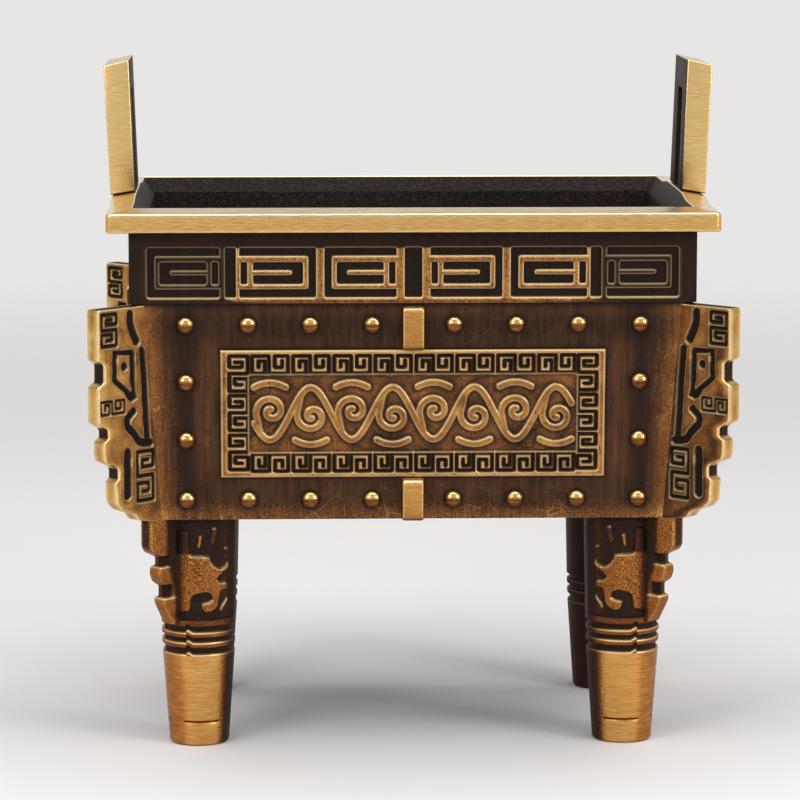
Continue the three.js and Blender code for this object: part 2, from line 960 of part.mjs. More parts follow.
for (const corner of corners) {
  node(corner.name + "_corner_flange", flange(), goldenBronze, cornerGroup(corner, 0));
  node(corner.name + "_leg", leg(), brushedBrass, cornerGroup(corner, legInset));
}

export default cauldron;
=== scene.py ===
# %% [markdown]
# # A square ding cauldron in cast brass
#
# The vessel is a rectangular box of four leaning walls under a flat rim, on four column legs.
# Its looks come from three things: crisp low relief, dark patina left in the recesses, and
# bright rubbed metal on every edge and raised line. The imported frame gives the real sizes,
# and every piece below is built where the frame says it is.

# %% The frame
import math

import bpy
import numpy as np
from mathutils import Matrix, Vector


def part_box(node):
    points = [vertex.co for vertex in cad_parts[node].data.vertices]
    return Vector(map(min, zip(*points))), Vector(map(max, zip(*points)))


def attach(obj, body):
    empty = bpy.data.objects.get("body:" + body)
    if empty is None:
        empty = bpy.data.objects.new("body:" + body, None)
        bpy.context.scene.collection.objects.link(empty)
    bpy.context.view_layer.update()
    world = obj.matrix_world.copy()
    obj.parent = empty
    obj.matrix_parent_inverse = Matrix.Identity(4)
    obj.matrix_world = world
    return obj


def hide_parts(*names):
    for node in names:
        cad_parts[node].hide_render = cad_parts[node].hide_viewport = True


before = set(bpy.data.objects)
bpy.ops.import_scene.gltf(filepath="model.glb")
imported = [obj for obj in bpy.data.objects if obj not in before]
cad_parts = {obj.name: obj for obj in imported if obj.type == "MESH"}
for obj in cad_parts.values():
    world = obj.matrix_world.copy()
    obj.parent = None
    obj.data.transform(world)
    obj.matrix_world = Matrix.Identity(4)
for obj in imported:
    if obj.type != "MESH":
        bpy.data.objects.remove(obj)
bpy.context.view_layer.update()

MM = 0.001


def span(node):
    """Lowest and highest corner of a frame node, in millimetres."""
    low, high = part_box(node)
    return np.array(low) / MM, np.array(high) / MM


print("frame nodes:", len(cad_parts))

# %% [markdown]
# ## Sizes
#
# The rim's box gives the plan, and the wall's box gives the height of the vessel. An inset is
# a distance in from the rim's outer face, and it is the same on all four sides, so one wall
# profile serves the long and the short walls, and the corners meet on true diagonals.

# %% Sizes from the frame
rim_low, rim_high = span("rim_frame")
half_length, half_width = rim_high[0], rim_high[1]
rim_bottom = rim_low[2]
wall_bottom = span("front_wall")[0][2]

frieze_inset = 7.2
frieze_height = 23.7
frieze_step = 0.9
bottom_inset = 13.2
wall_thickness = 5.0
plaque_top_margin = 15.5
plaque_bottom_margin = 14.4
plaque_proud = 1.0
frieze_bottom = rim_bottom - frieze_height
plaque_bottom = wall_bottom + plaque_bottom_margin
plaque_top = frieze_bottom - plaque_top_margin
panel_top_inset = frieze_inset + frieze_step
plaque_end_margin = half_length - panel_top_inset - span("front_plaque")[1][0]
panel_lean = (bottom_inset - panel_top_inset) / (frieze_bottom - wall_bottom)
panel_angle = math.atan(panel_lean)

SIDES = [
    dict(name=name, turn=quarters * math.pi / 2, out=out, along=along, long=along > out,
         half_panel=along - panel_top_inset, half_plaque=along - panel_top_inset - plaque_end_margin)
    for name, quarters, out, along in (
        ("back", 0, half_width, half_length), ("front", 2, half_width, half_length),
        ("right", -1, half_length, half_width), ("left", 1, half_length, half_width))
]
CORNERS = [dict(name=name, x=x, y=y) for name, x, y in (
    ("back_right", 1, 1), ("back_left", -1, 1), ("front_left", -1, -1), ("front_right", 1, -1))]


def panel_inset(z):
    return panel_top_inset + (frieze_bottom - z) * panel_lean


def turned(turn, x, y, z, centre=(0.0, 0.0)):
    """Points turned about an upright axis through a centre."""
    c, s = math.cos(turn), math.sin(turn)
    x, y, z = np.broadcast_arrays(x, y, z)
    return np.stack([centre[0] + x * c - y * s, centre[1] + x * s + y * c, z], axis=-1)


def on_panel(side, along, proud, rise):
    """Points on the leaning panel: along it, proud of it, and up its slope from the plaque's foot."""
    c, s = math.cos(panel_angle), math.sin(panel_angle)
    out = side["out"] - panel_inset(plaque_bottom) + proud * c + rise * s
    return turned(side["turn"], along, out, plaque_bottom - proud * s + rise * c)


def on_corner(corner, inset, u, v, z):
    """Points on a corner's diagonal: u outwards from a place at an inset, v across it."""
    centre = (corner["x"] * (half_length - inset), corner["y"] * (half_width - inset))
    return turned(math.atan2(corner["y"], corner["x"]), u, v, z, centre)


print("half plan", round(float(half_length), 2), round(float(half_width), 2))

# %% [markdown]
# ## Shader maths in plain Python
#
# A finish is a mix of masks, so it reads best as arithmetic. A small class wraps a socket and
# gives it the usual operators; any other node comes from one method that takes its type, its
# settings and what its sockets get.

# %% Shader helper


def feed(tree, socket, value):
    if isinstance(value, Wire):
        tree.links.new(value.socket, socket)
    else:
        socket.default_value = value


class Wire:
    """A shader socket that can be used in sums."""

    def __init__(self, tree, socket):
        self.tree = tree
        self.socket = socket

    def maths(self, operation, *values):
        node = self.tree.nodes.new("ShaderNodeMath")
        node.operation = operation
        for socket, value in zip(node.inputs, values):
            feed(self.tree, socket, value)
        return Wire(self.tree, node.outputs[0])

    def __add__(self, other):
        return self.maths("ADD", self, other)

    __radd__ = __add__

    def __sub__(self, other):
        return self.maths("SUBTRACT", self, other)

    def __rsub__(self, other):
        return self.maths("SUBTRACT", other, self)

    def __mul__(self, other):
        return self.maths("MULTIPLY", self, other)

    __rmul__ = __mul__

    def larger(self, other):
        return self.maths("MAXIMUM", self, other)


class Shader:
    """A node tree that is written as expressions."""

    def __init__(self, tree):
        self.tree = tree

    def add(self, kind, settings=None, output=0, **sockets):
        node = self.tree.nodes.new("ShaderNode" + kind)
        for key, value in (settings or {}).items():
            setattr(node, key, value)
        for key, value in sockets.items():
            feed(self.tree, node.inputs[key.replace("_", " ")], value)
        return Wire(self.tree, node.outputs[output])

    def place(self, scale=(1, 1, 1)):
        return self.add("Mapping", Vector=self.add("TexCoord", output="Object"), Scale=scale)

    def noise(self, scale, stretch=(1, 1, 1), detail=3.0, rough=0.55):
        """Noise about zero, with features one over scale metres wide."""
        return self.add("TexNoise", output="Fac", Vector=self.place(stretch),
                        Scale=scale, Detail=detail, Roughness=rough) - 0.5

    def step(self, value, low, high):
        return self.add("MapRange", {"interpolation_type": "SMOOTHSTEP"}, output="Result",
                        Value=value, From_Min=low, From_Max=high)

    def attribute(self, name):
        return self.add("Attribute", {"attribute_name": name}, output="Fac")

    def blend(self, share, first, second):
        node = self.add("Mix", {"data_type": "RGBA"}).socket.node
        colours = [socket for socket in node.inputs if socket.type == "RGBA"]
        for socket, value in zip([node.inputs[0], *colours], (share, first, second)):
            feed(self.tree, socket, value)
        return Wire(self.tree, next(socket for socket in node.outputs if socket.type == "RGBA"))

    def ramp(self, value, stops):
        colour = self.add("ValToRGB", Fac=value)
        elements = colour.socket.node.color_ramp.elements
        for place, shade in stops[1:-1]:
            elements.new(place)
        for element, (place, shade) in zip(elements, stops):
            element.position = place
            element.color = shade
        return colour


def displayed(red, green, blue):
    """A colour as a screen shows it, 0 to 255, turned into the linear one that a shader takes."""
    shares = (value / 255 for value in (red, green, blue))
    return (*(((v + 0.055) / 1.055) ** 2.4 if v > 0.0393 else v / 12.92 for v in shares), 1.0)


# %% [markdown]
# ## One patina, four finishes
#
# Every casting is the same brass: dipped until it was black-brown, then rubbed back by hand.
# So one number says how a spot looks. `tone` is 0 in a recess that kept its black, about a
# quarter on the dark walls, two thirds on golden faces and 1 on an edge polished bright. In
# places it also carries painted shade and painted highlights, each said where it is added. It
# travels with each mesh as a point value, and a colour ramp turns it into metal. A second
# value, `cast`, is 1 where the sandy casting skin was left, and above 1 inside the vessel,
# where it is wrinkled and sooty, with painted glints on the wrinkles. A third, `line`, is 1
# on an edge so sharp that polishing left it almost white, and it also carries painted
# highlights, brightest where an edge faces upwards. Noise shifts the tone, but only in the
# middle of its range, so blacks stay black and edges stay bright.

# %% Patina
PATINA = [
    (0.00, (17, 11, 8)),
    (0.15, (52, 34, 25)),
    (0.30, (91, 61, 40)),
    (0.45, (138, 87, 48)),
    (0.60, (180, 127, 67)),
    (0.75, (211, 166, 96)),
    (0.88, (231, 199, 140)),
    (1.00, (250, 233, 197)),
]
# SHARP is polished edge metal with painted highlights; GLINT is painted glints on the soot inside.
SHARP = displayed(252, 221, 162)
SOOT = displayed(33, 27, 24)
GLINT = displayed(70, 62, 57)
BRUSH_MARKS = (200, 200, 2900)
STREAKS = (620, 620, 30)
WRINKLES = (1100, 1100, 2300)
CRACKED_PLATES = (150, 150, 150)


def warmed(warmth):
    """The ramp's colours, the middle of it redder for a warmth above zero and browner below."""
    stops = []
    for place, (red, green, blue) in PATINA:
        less = 1 - warmth * place * (1 - place)
        stops.append((place, displayed(red, green * less, blue * less ** 2)))
    return stops


def patina(name, brushed=0.0, streaked=0.0, cloudy=0.0, sandy=0.0, crackled=0.0, warmth=0.0):
    """Brass whose noise is brushed sideways, streaked downwards, cloudy, sandy or crackled."""
    material = bpy.data.materials.new(name)
    material.use_nodes = True
    shader = Shader(material.node_tree)
    tone = shader.attribute("tone")
    cast = shader.attribute("cast")
    brush = shader.noise(1.0, BRUSH_MARKS, detail=2.0, rough=0.6) * (1 - shader.step(cast, 0.0, 1.0))
    grain = shader.noise(2300, detail=2.0, rough=0.6)
    sand = (shader.step(grain, -0.13, 0.0) + 0.6 * shader.step(grain, 0.08, 0.18) - 0.8) * cast
    shift = brushed * brush + sandy * sand + cloudy * shader.noise(130, detail=4.0, rough=0.6)
    if streaked:
        shift = shift + streaked * shader.noise(1.0, STREAKS, detail=4.0, rough=0.6)
    if crackled:
        cells = shader.add("VectorMath", {"operation": "ADD"}, Vector=shader.place(CRACKED_PLATES))
        feed(shader.tree, cells.socket.node.inputs[1], shader.noise(330, detail=3.0) * 0.45)
        gap = shader.add("TexVoronoi", {"feature": "DISTANCE_TO_EDGE"}, output="Distance",
                         Vector=cells, Scale=1.0)
        crack = (1 - shader.step(gap, 0.0, 0.055)) * shader.step(shader.noise(45, detail=1.0), -0.02, 0.12)
        shift = shift + (crackled * crack) * (0.6 * cast + 0.4)
    inside = shader.step(cast, 1.0, 2.0)
    wrinkle = shader.noise(1.0, WRINKLES, detail=3.0, rough=0.65) * inside
    # Inside the vessel the colour is soot, with painted glints on the wrinkles.
    soot_and_painted_glints = shader.blend(shader.step(wrinkle, -0.02, 0.2), SOOT, GLINT)
    shade = tone + (tone * (1 - tone) * 4) * shift
    # `line` mixes in SHARP, for polished edges and their painted highlights.
    colour = shader.blend(shader.attribute("line"), shader.ramp(shade, warmed(warmth)), SHARP)
    height = brush * 0.5 + sand * 0.7 + wrinkle * 6.0 + 5.0 * shader.noise(60, detail=2.0)
    for socket, value in (
            ("Base Color", shader.blend(inside, colour, soot_and_painted_glints)),
            ("Specular IOR Level", 0.2),
            ("Metallic", 0.50 + 0.50 * shader.step(tone, 0.05, 0.35)),
            ("Roughness", 0.58 - 0.32 * shader.step(shade, 0.05, 0.9) + 0.08 * sand),
            ("Normal", shader.add("Bump", Height=height, Strength=0.35, Distance=0.0003))):
        feed(shader.tree, material.node_tree.nodes["Principled BSDF"].inputs[socket], value)
    return material


brushed_brass = patina("brushed brass", brushed=0.60, cloudy=0.05, sandy=0.10)
dark_bronze = patina("dark bronze", streaked=0.34, cloudy=0.20, sandy=0.22, crackled=0.14, warmth=-0.08)
golden_bronze = patina("golden bronze", cloudy=0.62, sandy=0.18, crackled=-0.22, warmth=-0.10)
leg_bronze = patina("leg bronze", brushed=0.48, cloudy=0.16, sandy=0.34, warmth=0.30)
for finish in (brushed_brass, dark_bronze, golden_bronze, leg_bronze):
    print("finish:", finish.name)

# %% [markdown]
# ## Skins through rings of points
#
# Most castings here are long sections that change along their length: a wall along its side,
# a flange and a leg up their height. Each is made as rings of points joined by quads, capped
# at both ends, so it is closed, and relief is only a matter of moving points in the rings.

# %% Skin maker


def ring_mesh(name, rings, closed=False, sharp=38):
    """A mesh through rings of points in millimetres, facing outwards and capped if not closed."""
    count, size = rings.shape[:2]
    points = rings.reshape(-1, 3) * MM
    i, j = np.arange(count if closed else count - 1)[:, None], np.arange(size)[None, :]
    n, k = (i + 1) % count, (j + 1) % size
    quads = np.broadcast_arrays(i * size + j, i * size + k, n * size + k, n * size + j)
    quads = np.stack(quads, -1).reshape(-1, 4)
    first = np.arange(size)
    caps = [] if closed else [first[::-1], first + (count - 1) * size]
    a, b, c, d = np.moveaxis((points - points.mean(0))[quads], 1, 0)
    volume = (a * (np.cross(b, c) + np.cross(c, d))).sum()
    turn = 1 if volume > 0 else -1
    faces = quads[:, ::turn].tolist() + [cap[::turn].tolist() for cap in caps]
    mesh = bpy.data.meshes.new(name)
    mesh.from_pydata(points.tolist(), [], faces)
    mesh.shade_smooth()
    mesh.set_sharp_from_angle(angle=math.radians(sharp))
    return mesh


def mark(mesh, shape, **values):
    """Stores point values on a mesh, each spread over its points' shape."""
    for label, numbers in values.items():
        layer = mesh.attributes.new(label, "FLOAT", "POINT")
        numbers = np.ascontiguousarray(np.broadcast_to(numbers, shape), dtype=np.float32)
        layer.data.foreach_set("value", numbers.ravel())


def dress(piece, finish, node=None):
    """Links a piece, gives it its finish, attaches it to the root, and hides the frame node it replaces."""
    if piece.name not in bpy.context.scene.collection.objects:
        bpy.context.scene.collection.objects.link(piece)
    piece.data.materials.clear()
    piece.data.materials.append(finish)
    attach(piece, "root")
    if node:
        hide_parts(node)
    print(piece.name, len(piece.data.polygons), "faces")


def skin(node, rings, finish, slot, tone, cast, line, name=None, **form):
    """A casting through rings, with its point values, in place of a frame node."""
    name = name or node + "_casting"
    mesh = ring_mesh(name, rings, **form)
    mark(mesh, rings.shape[:2], tone=tone, cast=cast, line=line)
    dress(bpy.data.objects.new(name, mesh), finish, node)


# %% [markdown]
# ## Relief from distances
#
# A groove is a stroke of some width. The distance from a point to the stroke's centre line
# says how deep the groove is there, how dark its floor is, and where its rubbed edge and its
# painted highlight run, so shape and patina can never slide apart. A distance is negative
# inside its form.

# %% Distances and grooves


def ease(value, low, high):
    """A soft step from 0 at low to 1 at high."""
    t = np.clip((value - low) / (high - low), 0.0, 1.0)
    return t * t * (3 - 2 * t)


def between(value, low, full, fades, high):
    """1 from full to fades, easing to 0 at low and at high."""
    return ease(value, low, full) * (1 - ease(value, fades, high))


def bell(value, centre, breadth):
    return np.exp(-(((value - centre) / breadth) ** 2))


def mixed(first, second, share):
    return first + (second - first) * share


def to_strokes(u, v, strokes):
    """Distance from every point to the nearest of several polylines."""
    nearest = np.full(np.broadcast(u, v).shape, 9.0)
    u, v = np.broadcast_arrays(u, v)
    for path in strokes:
        path = np.asarray(path, dtype=float)
        low, high = path.min(0) - 3.0, path.max(0) + 3.0
        near = (u > low[0]) & (u < high[0]) & (v > low[1]) & (v < high[1])
        pu, pv, best = u[near], v[near], nearest[near]
        for (ax, ay), (bx, by) in zip(path[:-1], path[1:]):
            dx, dy = bx - ax, by - ay
            t = np.clip(((pu - ax) * dx + (pv - ay) * dy) / max(dx * dx + dy * dy, 1e-9), 0, 1)
            best = np.minimum(best, np.hypot(pu - ax - t * dx, pv - ay - t * dy))
        nearest[near] = best
    return nearest


def to_box(u, v, u0, u1, v0, v1, corner=0.0):
    """Signed distance to a rectangle with rounded corners."""
    over_u = np.abs(u - (u0 + u1) / 2) - abs(u1 - u0) / 2 + corner
    over_v = np.abs(v - (v0 + v1) / 2) - abs(v1 - v0) / 2 + corner
    outside = np.hypot(np.maximum(over_u, 0), np.maximum(over_v, 0))
    return outside + np.minimum(np.maximum(over_u, over_v), 0) - corner


def to_polygon(u, v, corners):
    """Signed distance to a closed outline."""
    outline = [*corners, corners[0]]
    distance = to_strokes(u, v, [outline])
    inside = np.zeros(distance.shape, dtype=bool)
    for (ax, ay), (bx, by) in zip(outline[:-1], outline[1:]):
        if ay != by:
            crosses = (ay > v) != (by > v)
            inside ^= crosses & (u < (bx - ax) * (v - ay) / (by - ay) + ax)
    return np.where(inside, -distance, distance)


def carve(signed, soft=0.16):
    """1 inside a form, 0 outside, easing over its wall."""
    return ease(-signed, -soft, soft)


def painted_foot_shade(signed, strength, reach):
    """A factor of painted shade round a raised form, darkest at its foot."""
    return 1 - strength * np.exp(-np.maximum(signed, 0) / reach)


def facing_up(signed, z, axis):
    """1 where a raised form's edge faces upwards, from how its distance grows with height."""
    return ease(np.gradient(signed, axis=axis) / np.gradient(z, axis=axis), 0.25, 0.75)


def bright_edge(signed, z, axis, dull, bright, offset, breadth):
    """A narrow rubbed band inside a raised form's edge, with a painted highlight where it faces up."""
    return mixed(dull, bright, facing_up(signed, z, axis)) * bell(-signed, offset, breadth)


def graded(low, high, edges, fine, coarse, reach=0.7):
    """Stations from low to high, close together round the edges of a pattern and wide between."""
    stops = [low]
    while stops[-1] < high - 1e-6:
        near = min(abs(stops[-1] - edge) for edge in edges)
        stops.append(stops[-1] + mixed(fine, coarse, float(ease(near, reach, reach + coarse))))
    stops[-1] = high
    return np.array(stops)


def crisp(low, high, edges, coarse):
    """Stations on both sides of every edge, with even gaps between them."""
    wanted = [edge + offset for edge in edges for offset in (-0.45, -0.26, -0.11, 0.11, 0.26, 0.45)]
    stops = [low]
    for stop in sorted(w for w in wanted if low < w < high) + [high]:
        gap = stop - stops[-1]
        if gap > 0.07:
            parts = math.ceil(gap / coarse)
            stops += [mixed(stop - gap, stop, n / parts) for n in range(1, parts + 1)]
    stops[-1] = high
    return np.array(stops)


# %% [markdown]
# ## The square spiral
#
# The meander is one groove that winds into a square spiral, comes out, and winds into the
# next. Two cells make a unit: one drawn for a row, one for a column. The corner flanges use
# the same units, only stretched to their own boxes.

# %% Meander units, drawn from the upper left corner of a unit
ROW_UNIT = [(2.35, 1.98), (2.35, 4.08), (4.70, 4.08), (4.70, 0.5), (0.5, 0.5), (0.5, 6.1), (6.5, 6.1),
            (6.5, 0.5), (11.9, 0.5), (11.9, 6.1), (7.85, 6.1), (7.85, 2.1), (9.85, 2.1), (9.85, 4.2)]
COLUMN_UNIT = [(2.35, 2.5), (4.7, 2.5), (4.7, 4.1), (0.5, 4.1), (0.5, 0.5), (6.6, 0.5), (6.6, 6.2),
               (0.5, 6.2), (0.5, 12.0), (6.6, 12.0), (6.6, 7.9), (2.3, 7.9), (2.3, 9.9), (4.6, 9.9)]
ROW = (ROW_UNIT, 13.1, 6.6)
COLUMN = (COLUMN_UNIT, 7.1, 13.1)


def fitted(unit, left, top, width, height, mirror_u=False):
    """A unit's path laid into a box, mirrored where the pattern is; a height below 0 goes up."""
    points, across, down = unit
    path = [(1 - x / across if mirror_u else x / across, y / down) for x, y in points]
    return [(left + x * width, top - y * height) for x, y in path]


# %% [markdown]
# ## The walls
#
# A wall is one casting: a neck, the frieze band, and the leaning panel. The neck is dark, and
# it also carries painted shade under the rim. The frieze is a row of C shaped cells. The band
# of each cell and the bar at its heart are gold, and what lies between is sunk and black.
# Nobody polishes into the ends of the frieze, so there only the thin edges of the cells are
# bright. Edges that face upwards carry a painted highlight, and edges that face downwards
# painted shade.

# %% Frieze cells, in millimetres from a cell's open end and above the frieze's foot
cell_length = 24.35
frieze_cells = [(5.0, 24.35, True), (31.5, 25.9, False), (62.8, 24.35, True)]
frieze_divider = (58.0, 61.4)
frieze_centre = 2.8
frieze_depth = 0.75
groove_low, groove_high = 2.0, 18.2
cell_edges = [0.6, 1.0, 2.9, 4.8, 16.9, 20.0, 21.8, 24.0]
frieze_edges_up = [0.6, 2.0, 4.6, 6.4, 9.2, 11.0, 13.5, 15.7, 18.2, 19.2]


def frieze_cell(x, h):
    """Signed distance to a cell's recesses: round the band, a slot, and round the bar."""
    outer = to_box(x, h, 0.6, 24.0, groove_low, groove_high, 0.7)
    band = to_box(x, h, -2.0, 21.8, 4.6, 15.7, 0.8)
    slot = to_box(x, h, 1.0, 2.9, 6.4, 13.5, 0.5)
    heart = to_box(x, h, 4.8, 20.0, 6.4, 13.5, 0.7)
    bar = to_box(x, h, 2.0, 16.9, 9.2, 11.0, 0.9)
    return np.minimum.reduce([np.maximum(outer, -band), slot, np.maximum(heart, -bar)])


def frieze_recess(a, h, half_run):
    """Signed distance to the recesses of a frieze."""
    signed = to_box(a, h, -frieze_centre, frieze_centre, groove_low, groove_high, 0.5)
    for start, length, opens_inward in frieze_cells:
        if start + length < half_run:
            local = (a - start) * cell_length / length
            local = local if opens_inward else cell_length - local
            here = (local > -0.4) & (local < cell_length + 0.4)
            signed = np.where(here, np.minimum(signed, frieze_cell(local, h)), signed)
    if frieze_divider[1] < half_run:
        signed = np.minimum(signed, to_box(a, h, *frieze_divider, groove_low, groove_high, 0.5))
    return signed


def frieze_stations(half_run):
    """Stations along a wall, close together at the upright edges of the frieze."""
    edges = [0.0, frieze_centre]
    for start, length, opens_inward in frieze_cells:
        runs = [start + edge * length / cell_length for edge in cell_edges]
        edges += runs if opens_inward else [2 * start + length - run for run in runs]
    if frieze_divider[1] < half_run:
        edges += frieze_divider
    half = crisp(0.0, half_run, edges, 0.7)
    return np.concatenate([-half[:0:-1], half])


# %% [markdown]
# The patina of a panel is painted by place: dark in the middle and along the column of bosses,
# rubbed brown next to the plaque, and golden with cast grain towards the corner flanges and
# the bottom edge. Each boss and the plaque get a ring of painted shade round their foot, and
# the top of the panel gets painted shade under the frieze's overhang.

# %% Where the bosses stand, and the panel's patina and painted shade
boss_top, boss_low = frieze_bottom - 7.2, wall_bottom + 6.7
boss_rows = [mixed(boss_low, boss_top, share) for share in (1.0, 0.674, 0.343, 0.0)]
boss_centre_offset = 13.4
boss_corner_margin = 17.3
boss_radius = 2.85


def boss_places(side):
    """Places as (along, height): full rows above and below, and a column at each end."""
    columns = 4 if side["long"] else 3
    pitch = (side["half_panel"] - boss_corner_margin - boss_centre_offset) / (columns - 1)
    places = []
    for z in boss_rows:
        for column in range(columns):
            if z in (boss_rows[0], boss_rows[-1]) or column == columns - 1:
                along = boss_centre_offset + column * pitch
                places += [(along, z), (-along, z)]
    return places


def panel_patina_and_shade(side, u, z):
    """Tone, with patina and painted shade, and casting skin of the leaning panel."""
    a, half = np.abs(u), side["half_plaque"]
    to_corner = side["along"] - panel_inset(z) - a
    near_bottom = 1 - ease(z, 78.6, 84.0)
    tone = 0.22 + 0.23 * (1 - ease(to_corner, 2.0, 13.0)) + 0.15 * near_bottom
    tone = tone - 0.10 * bell(a, side["half_panel"] - boss_corner_margin, 4.2) * (1 - near_bottom)
    tone = tone + 0.05 * bell(a, half + 5.5, 4.0) * between(z, 86, 96, 134, 146)
    tone = tone - 0.05 * ease(z, 134, 141) + 0.05 * bell(z, 147.5, 2.0)
    # Painted shade: a dark ring round each boss and round the plaque.
    for along, height in boss_places(side):
        tone = tone * painted_foot_shade(np.hypot(u - along, z - height) - boss_radius, 0.65, 0.5)
    tone = tone * painted_foot_shade(to_box(u, z, -half, half, plaque_bottom, plaque_top), 0.75, 0.7)
    # Painted shade under the frieze's overhang.
    tone = tone * (1 - 0.80 * ease(z, 149.0, frieze_bottom))
    cast = 0.2 + np.maximum(0.45 * (1 - ease(to_corner, 4, 18)), 1 - ease(z, 80, 88))
    return tone, cast


def frieze_patina_and_light(side, u, z):
    """Depth, tone, casting skin and sharp lines of the frieze and the neck, with painted light."""
    half_run = side["along"] - frieze_inset
    a, h = np.abs(u), z - frieze_bottom
    signed = frieze_recess(a, h, half_run)
    recess = carve(signed)
    lit = ease(half_run - a, 31.0, 34.5)
    gold = lit * between(h, 0.3, 0.6, groove_high - 0.2, groove_high + 0.2)
    # Black-brown away from the gold; on the neck it also stands for painted shade under the rim.
    tone = mixed(0.10, 0.38 + 0.09 * ease(h, 0.9, 1.9), gold)
    tone = mixed(tone, 0.05, recess)
    foot_line = 0.50 * bell(h, 0.25, 0.3) * (0.3 + 0.7 * ease(half_run - a, 20, 60))
    # Painted light on the gold: a painted highlight along edges that face upwards, painted shade along those
    # that face downwards.
    upward, downward = facing_up(-signed, h, axis=1), facing_up(signed, h, axis=1)
    wear_and_painted_light = gold * bell(signed, 0.4, 0.35) * (0.12 * upward - 0.16 * downward)
    tone = np.maximum(tone, foot_line) + wear_and_painted_light
    level = between(h, 0.2, 0.5, 19.3, 19.6) * (1 - 0.4 * ease(h, groove_high, groove_high + 0.2))
    low = 1 - ease(h, 2.2, 3.4)
    # The sharp lines carry painted highlights: brighter on edges that face upwards, dimmer on those that face
    # downwards.
    unlit = 0.22 + (0.20 + 0.35 * low) * upward
    bright = mixed(unlit, 0.60 + 0.40 * upward - 0.25 * downward, lit) * level
    line = bell(signed, 0.25, 0.17 + 0.06 * upward) * bright
    return frieze_depth * recess, tone, 0.3 + 0.7 * gold, line


# %% [markdown]
# The wall's section is a closed loop: up the outside, over the top, and down the inside. The
# loop is repeated along the wall, and each point's own half length follows from its inset,
# which cuts the mitre at the corner.

# %% Wall skins


def wall_section():
    """Points as (inset, height), and how many of them are on the panel and on the outside."""
    panel = graded(wall_bottom, frieze_bottom, [wall_bottom, frieze_bottom], 0.4, 0.95)
    edges = [frieze_bottom + h for h in frieze_edges_up]
    frieze = crisp(frieze_bottom, frieze_bottom + 20.0, edges, 0.6)
    outer = [(panel_inset(z), z) for z in panel] + [(frieze_inset, z) for z in (*frieze, rim_bottom)]
    inner = [(frieze_inset, rim_bottom), (panel_top_inset, frieze_bottom), (bottom_inset, wall_bottom)]
    inner = [(inset + wall_thickness, z) for inset, z in inner]
    return np.array(outer + inner), len(panel), len(outer)


def make_wall(side):
    section, on_panels, outside = wall_section()
    inset, height = section[:, 0], section[:, 1]
    half_top = side["along"] - frieze_inset
    u = frieze_stations(half_top)[:, None] / half_top * (side["along"] - inset)[None, :]
    z = np.broadcast_to(height[None, :], u.shape)
    depth, tone, cast, line = frieze_patina_and_light(side, u, z)
    for value, on_panel_value, inner_value in zip(
            (tone, cast, depth, line), (*panel_patina_and_shade(side, u, z), 0 * u, 0 * u), (0.08, 2.5, 0, 0)):
        value[:, :on_panels] = on_panel_value[:, :on_panels]
        value[:, outside:] = inner_value
    rings = turned(side["turn"], u, side["out"] - inset[None, :] - depth, z)
    skin(side["name"] + "_wall", rings, dark_bronze, "dark_bronze", tone, cast, line)


for side in SIDES:
    make_wall(side)

# %% [markdown]
# ## The bosses
#
# Small domes stand in rows round each panel, like nail heads. They repeat, so Geometry Nodes
# places them: the tree takes a mesh whose points are the places, turns and sets one dome on
# each, and makes the copies real.

# %% Boss form and node tree
boss_height = 2.3
boss_steps = 28


def boss_form():
    """One dome standing on the origin along Z, with a short neck that sinks into the wall."""
    profile = [(boss_radius - 0.1, -0.6), (boss_radius - 0.1, 0.05)]
    profile += [(boss_radius * math.cos(t), 0.2 + (boss_height - 0.2) * math.sin(t))
                for t in np.linspace(0.0, 1.42, 9)]
    turn = np.linspace(0, 2 * math.pi, boss_steps, endpoint=False)
    rings = np.array([turned(0.0, r * np.cos(turn), r * np.sin(turn), z) for r, z in profile])
    return bpy.data.objects.new("boss form", ring_mesh("boss form", rings, sharp=50))


def boss_tree():
    tree = bpy.data.node_groups.new("bosses", "GeometryNodeTree")
    for label, kind in (("Geometry", "Geometry"), ("Form", "Object"),
                        ("Facing", "Vector"), ("Finish", "Material")):
        tree.interface.new_socket(label, in_out="INPUT", socket_type="NodeSocket" + kind)
    tree.interface.new_socket("Geometry", in_out="OUTPUT", socket_type="NodeSocketGeometry")
    start, info, align, copies, real, paint, end = (tree.nodes.new(kind) for kind in (
        "NodeGroupInput", "GeometryNodeObjectInfo", "FunctionNodeAlignRotationToVector",
        "GeometryNodeInstanceOnPoints", "GeometryNodeRealizeInstances", "GeometryNodeSetMaterial",
        "NodeGroupOutput"))
    align.axis = "Z"
    for source, output, target, socket in (
            (start, "Form", info, "Object"),
            (start, "Facing", align, "Vector"),
            (start, "Geometry", copies, "Points"),
            (info, "Geometry", copies, "Instance"),
            (align, "Rotation", copies, "Rotation"),
            (copies, "Instances", real, "Geometry"),
            (real, "Geometry", paint, "Geometry"),
            (start, "Finish", paint, "Material"),
            (paint, "Geometry", end, "Geometry")):
        tree.links.new(source.outputs[output], target.inputs[socket])
    return tree


def frozen(piece):
    """A piece's mesh as its modifiers leave it, with the modifiers gone."""
    bpy.context.view_layer.update()
    evaluated = piece.evaluated_get(bpy.context.evaluated_depsgraph_get())
    mesh = bpy.data.meshes.new_from_object(evaluated)
    piece.modifiers.clear()
    return mesh


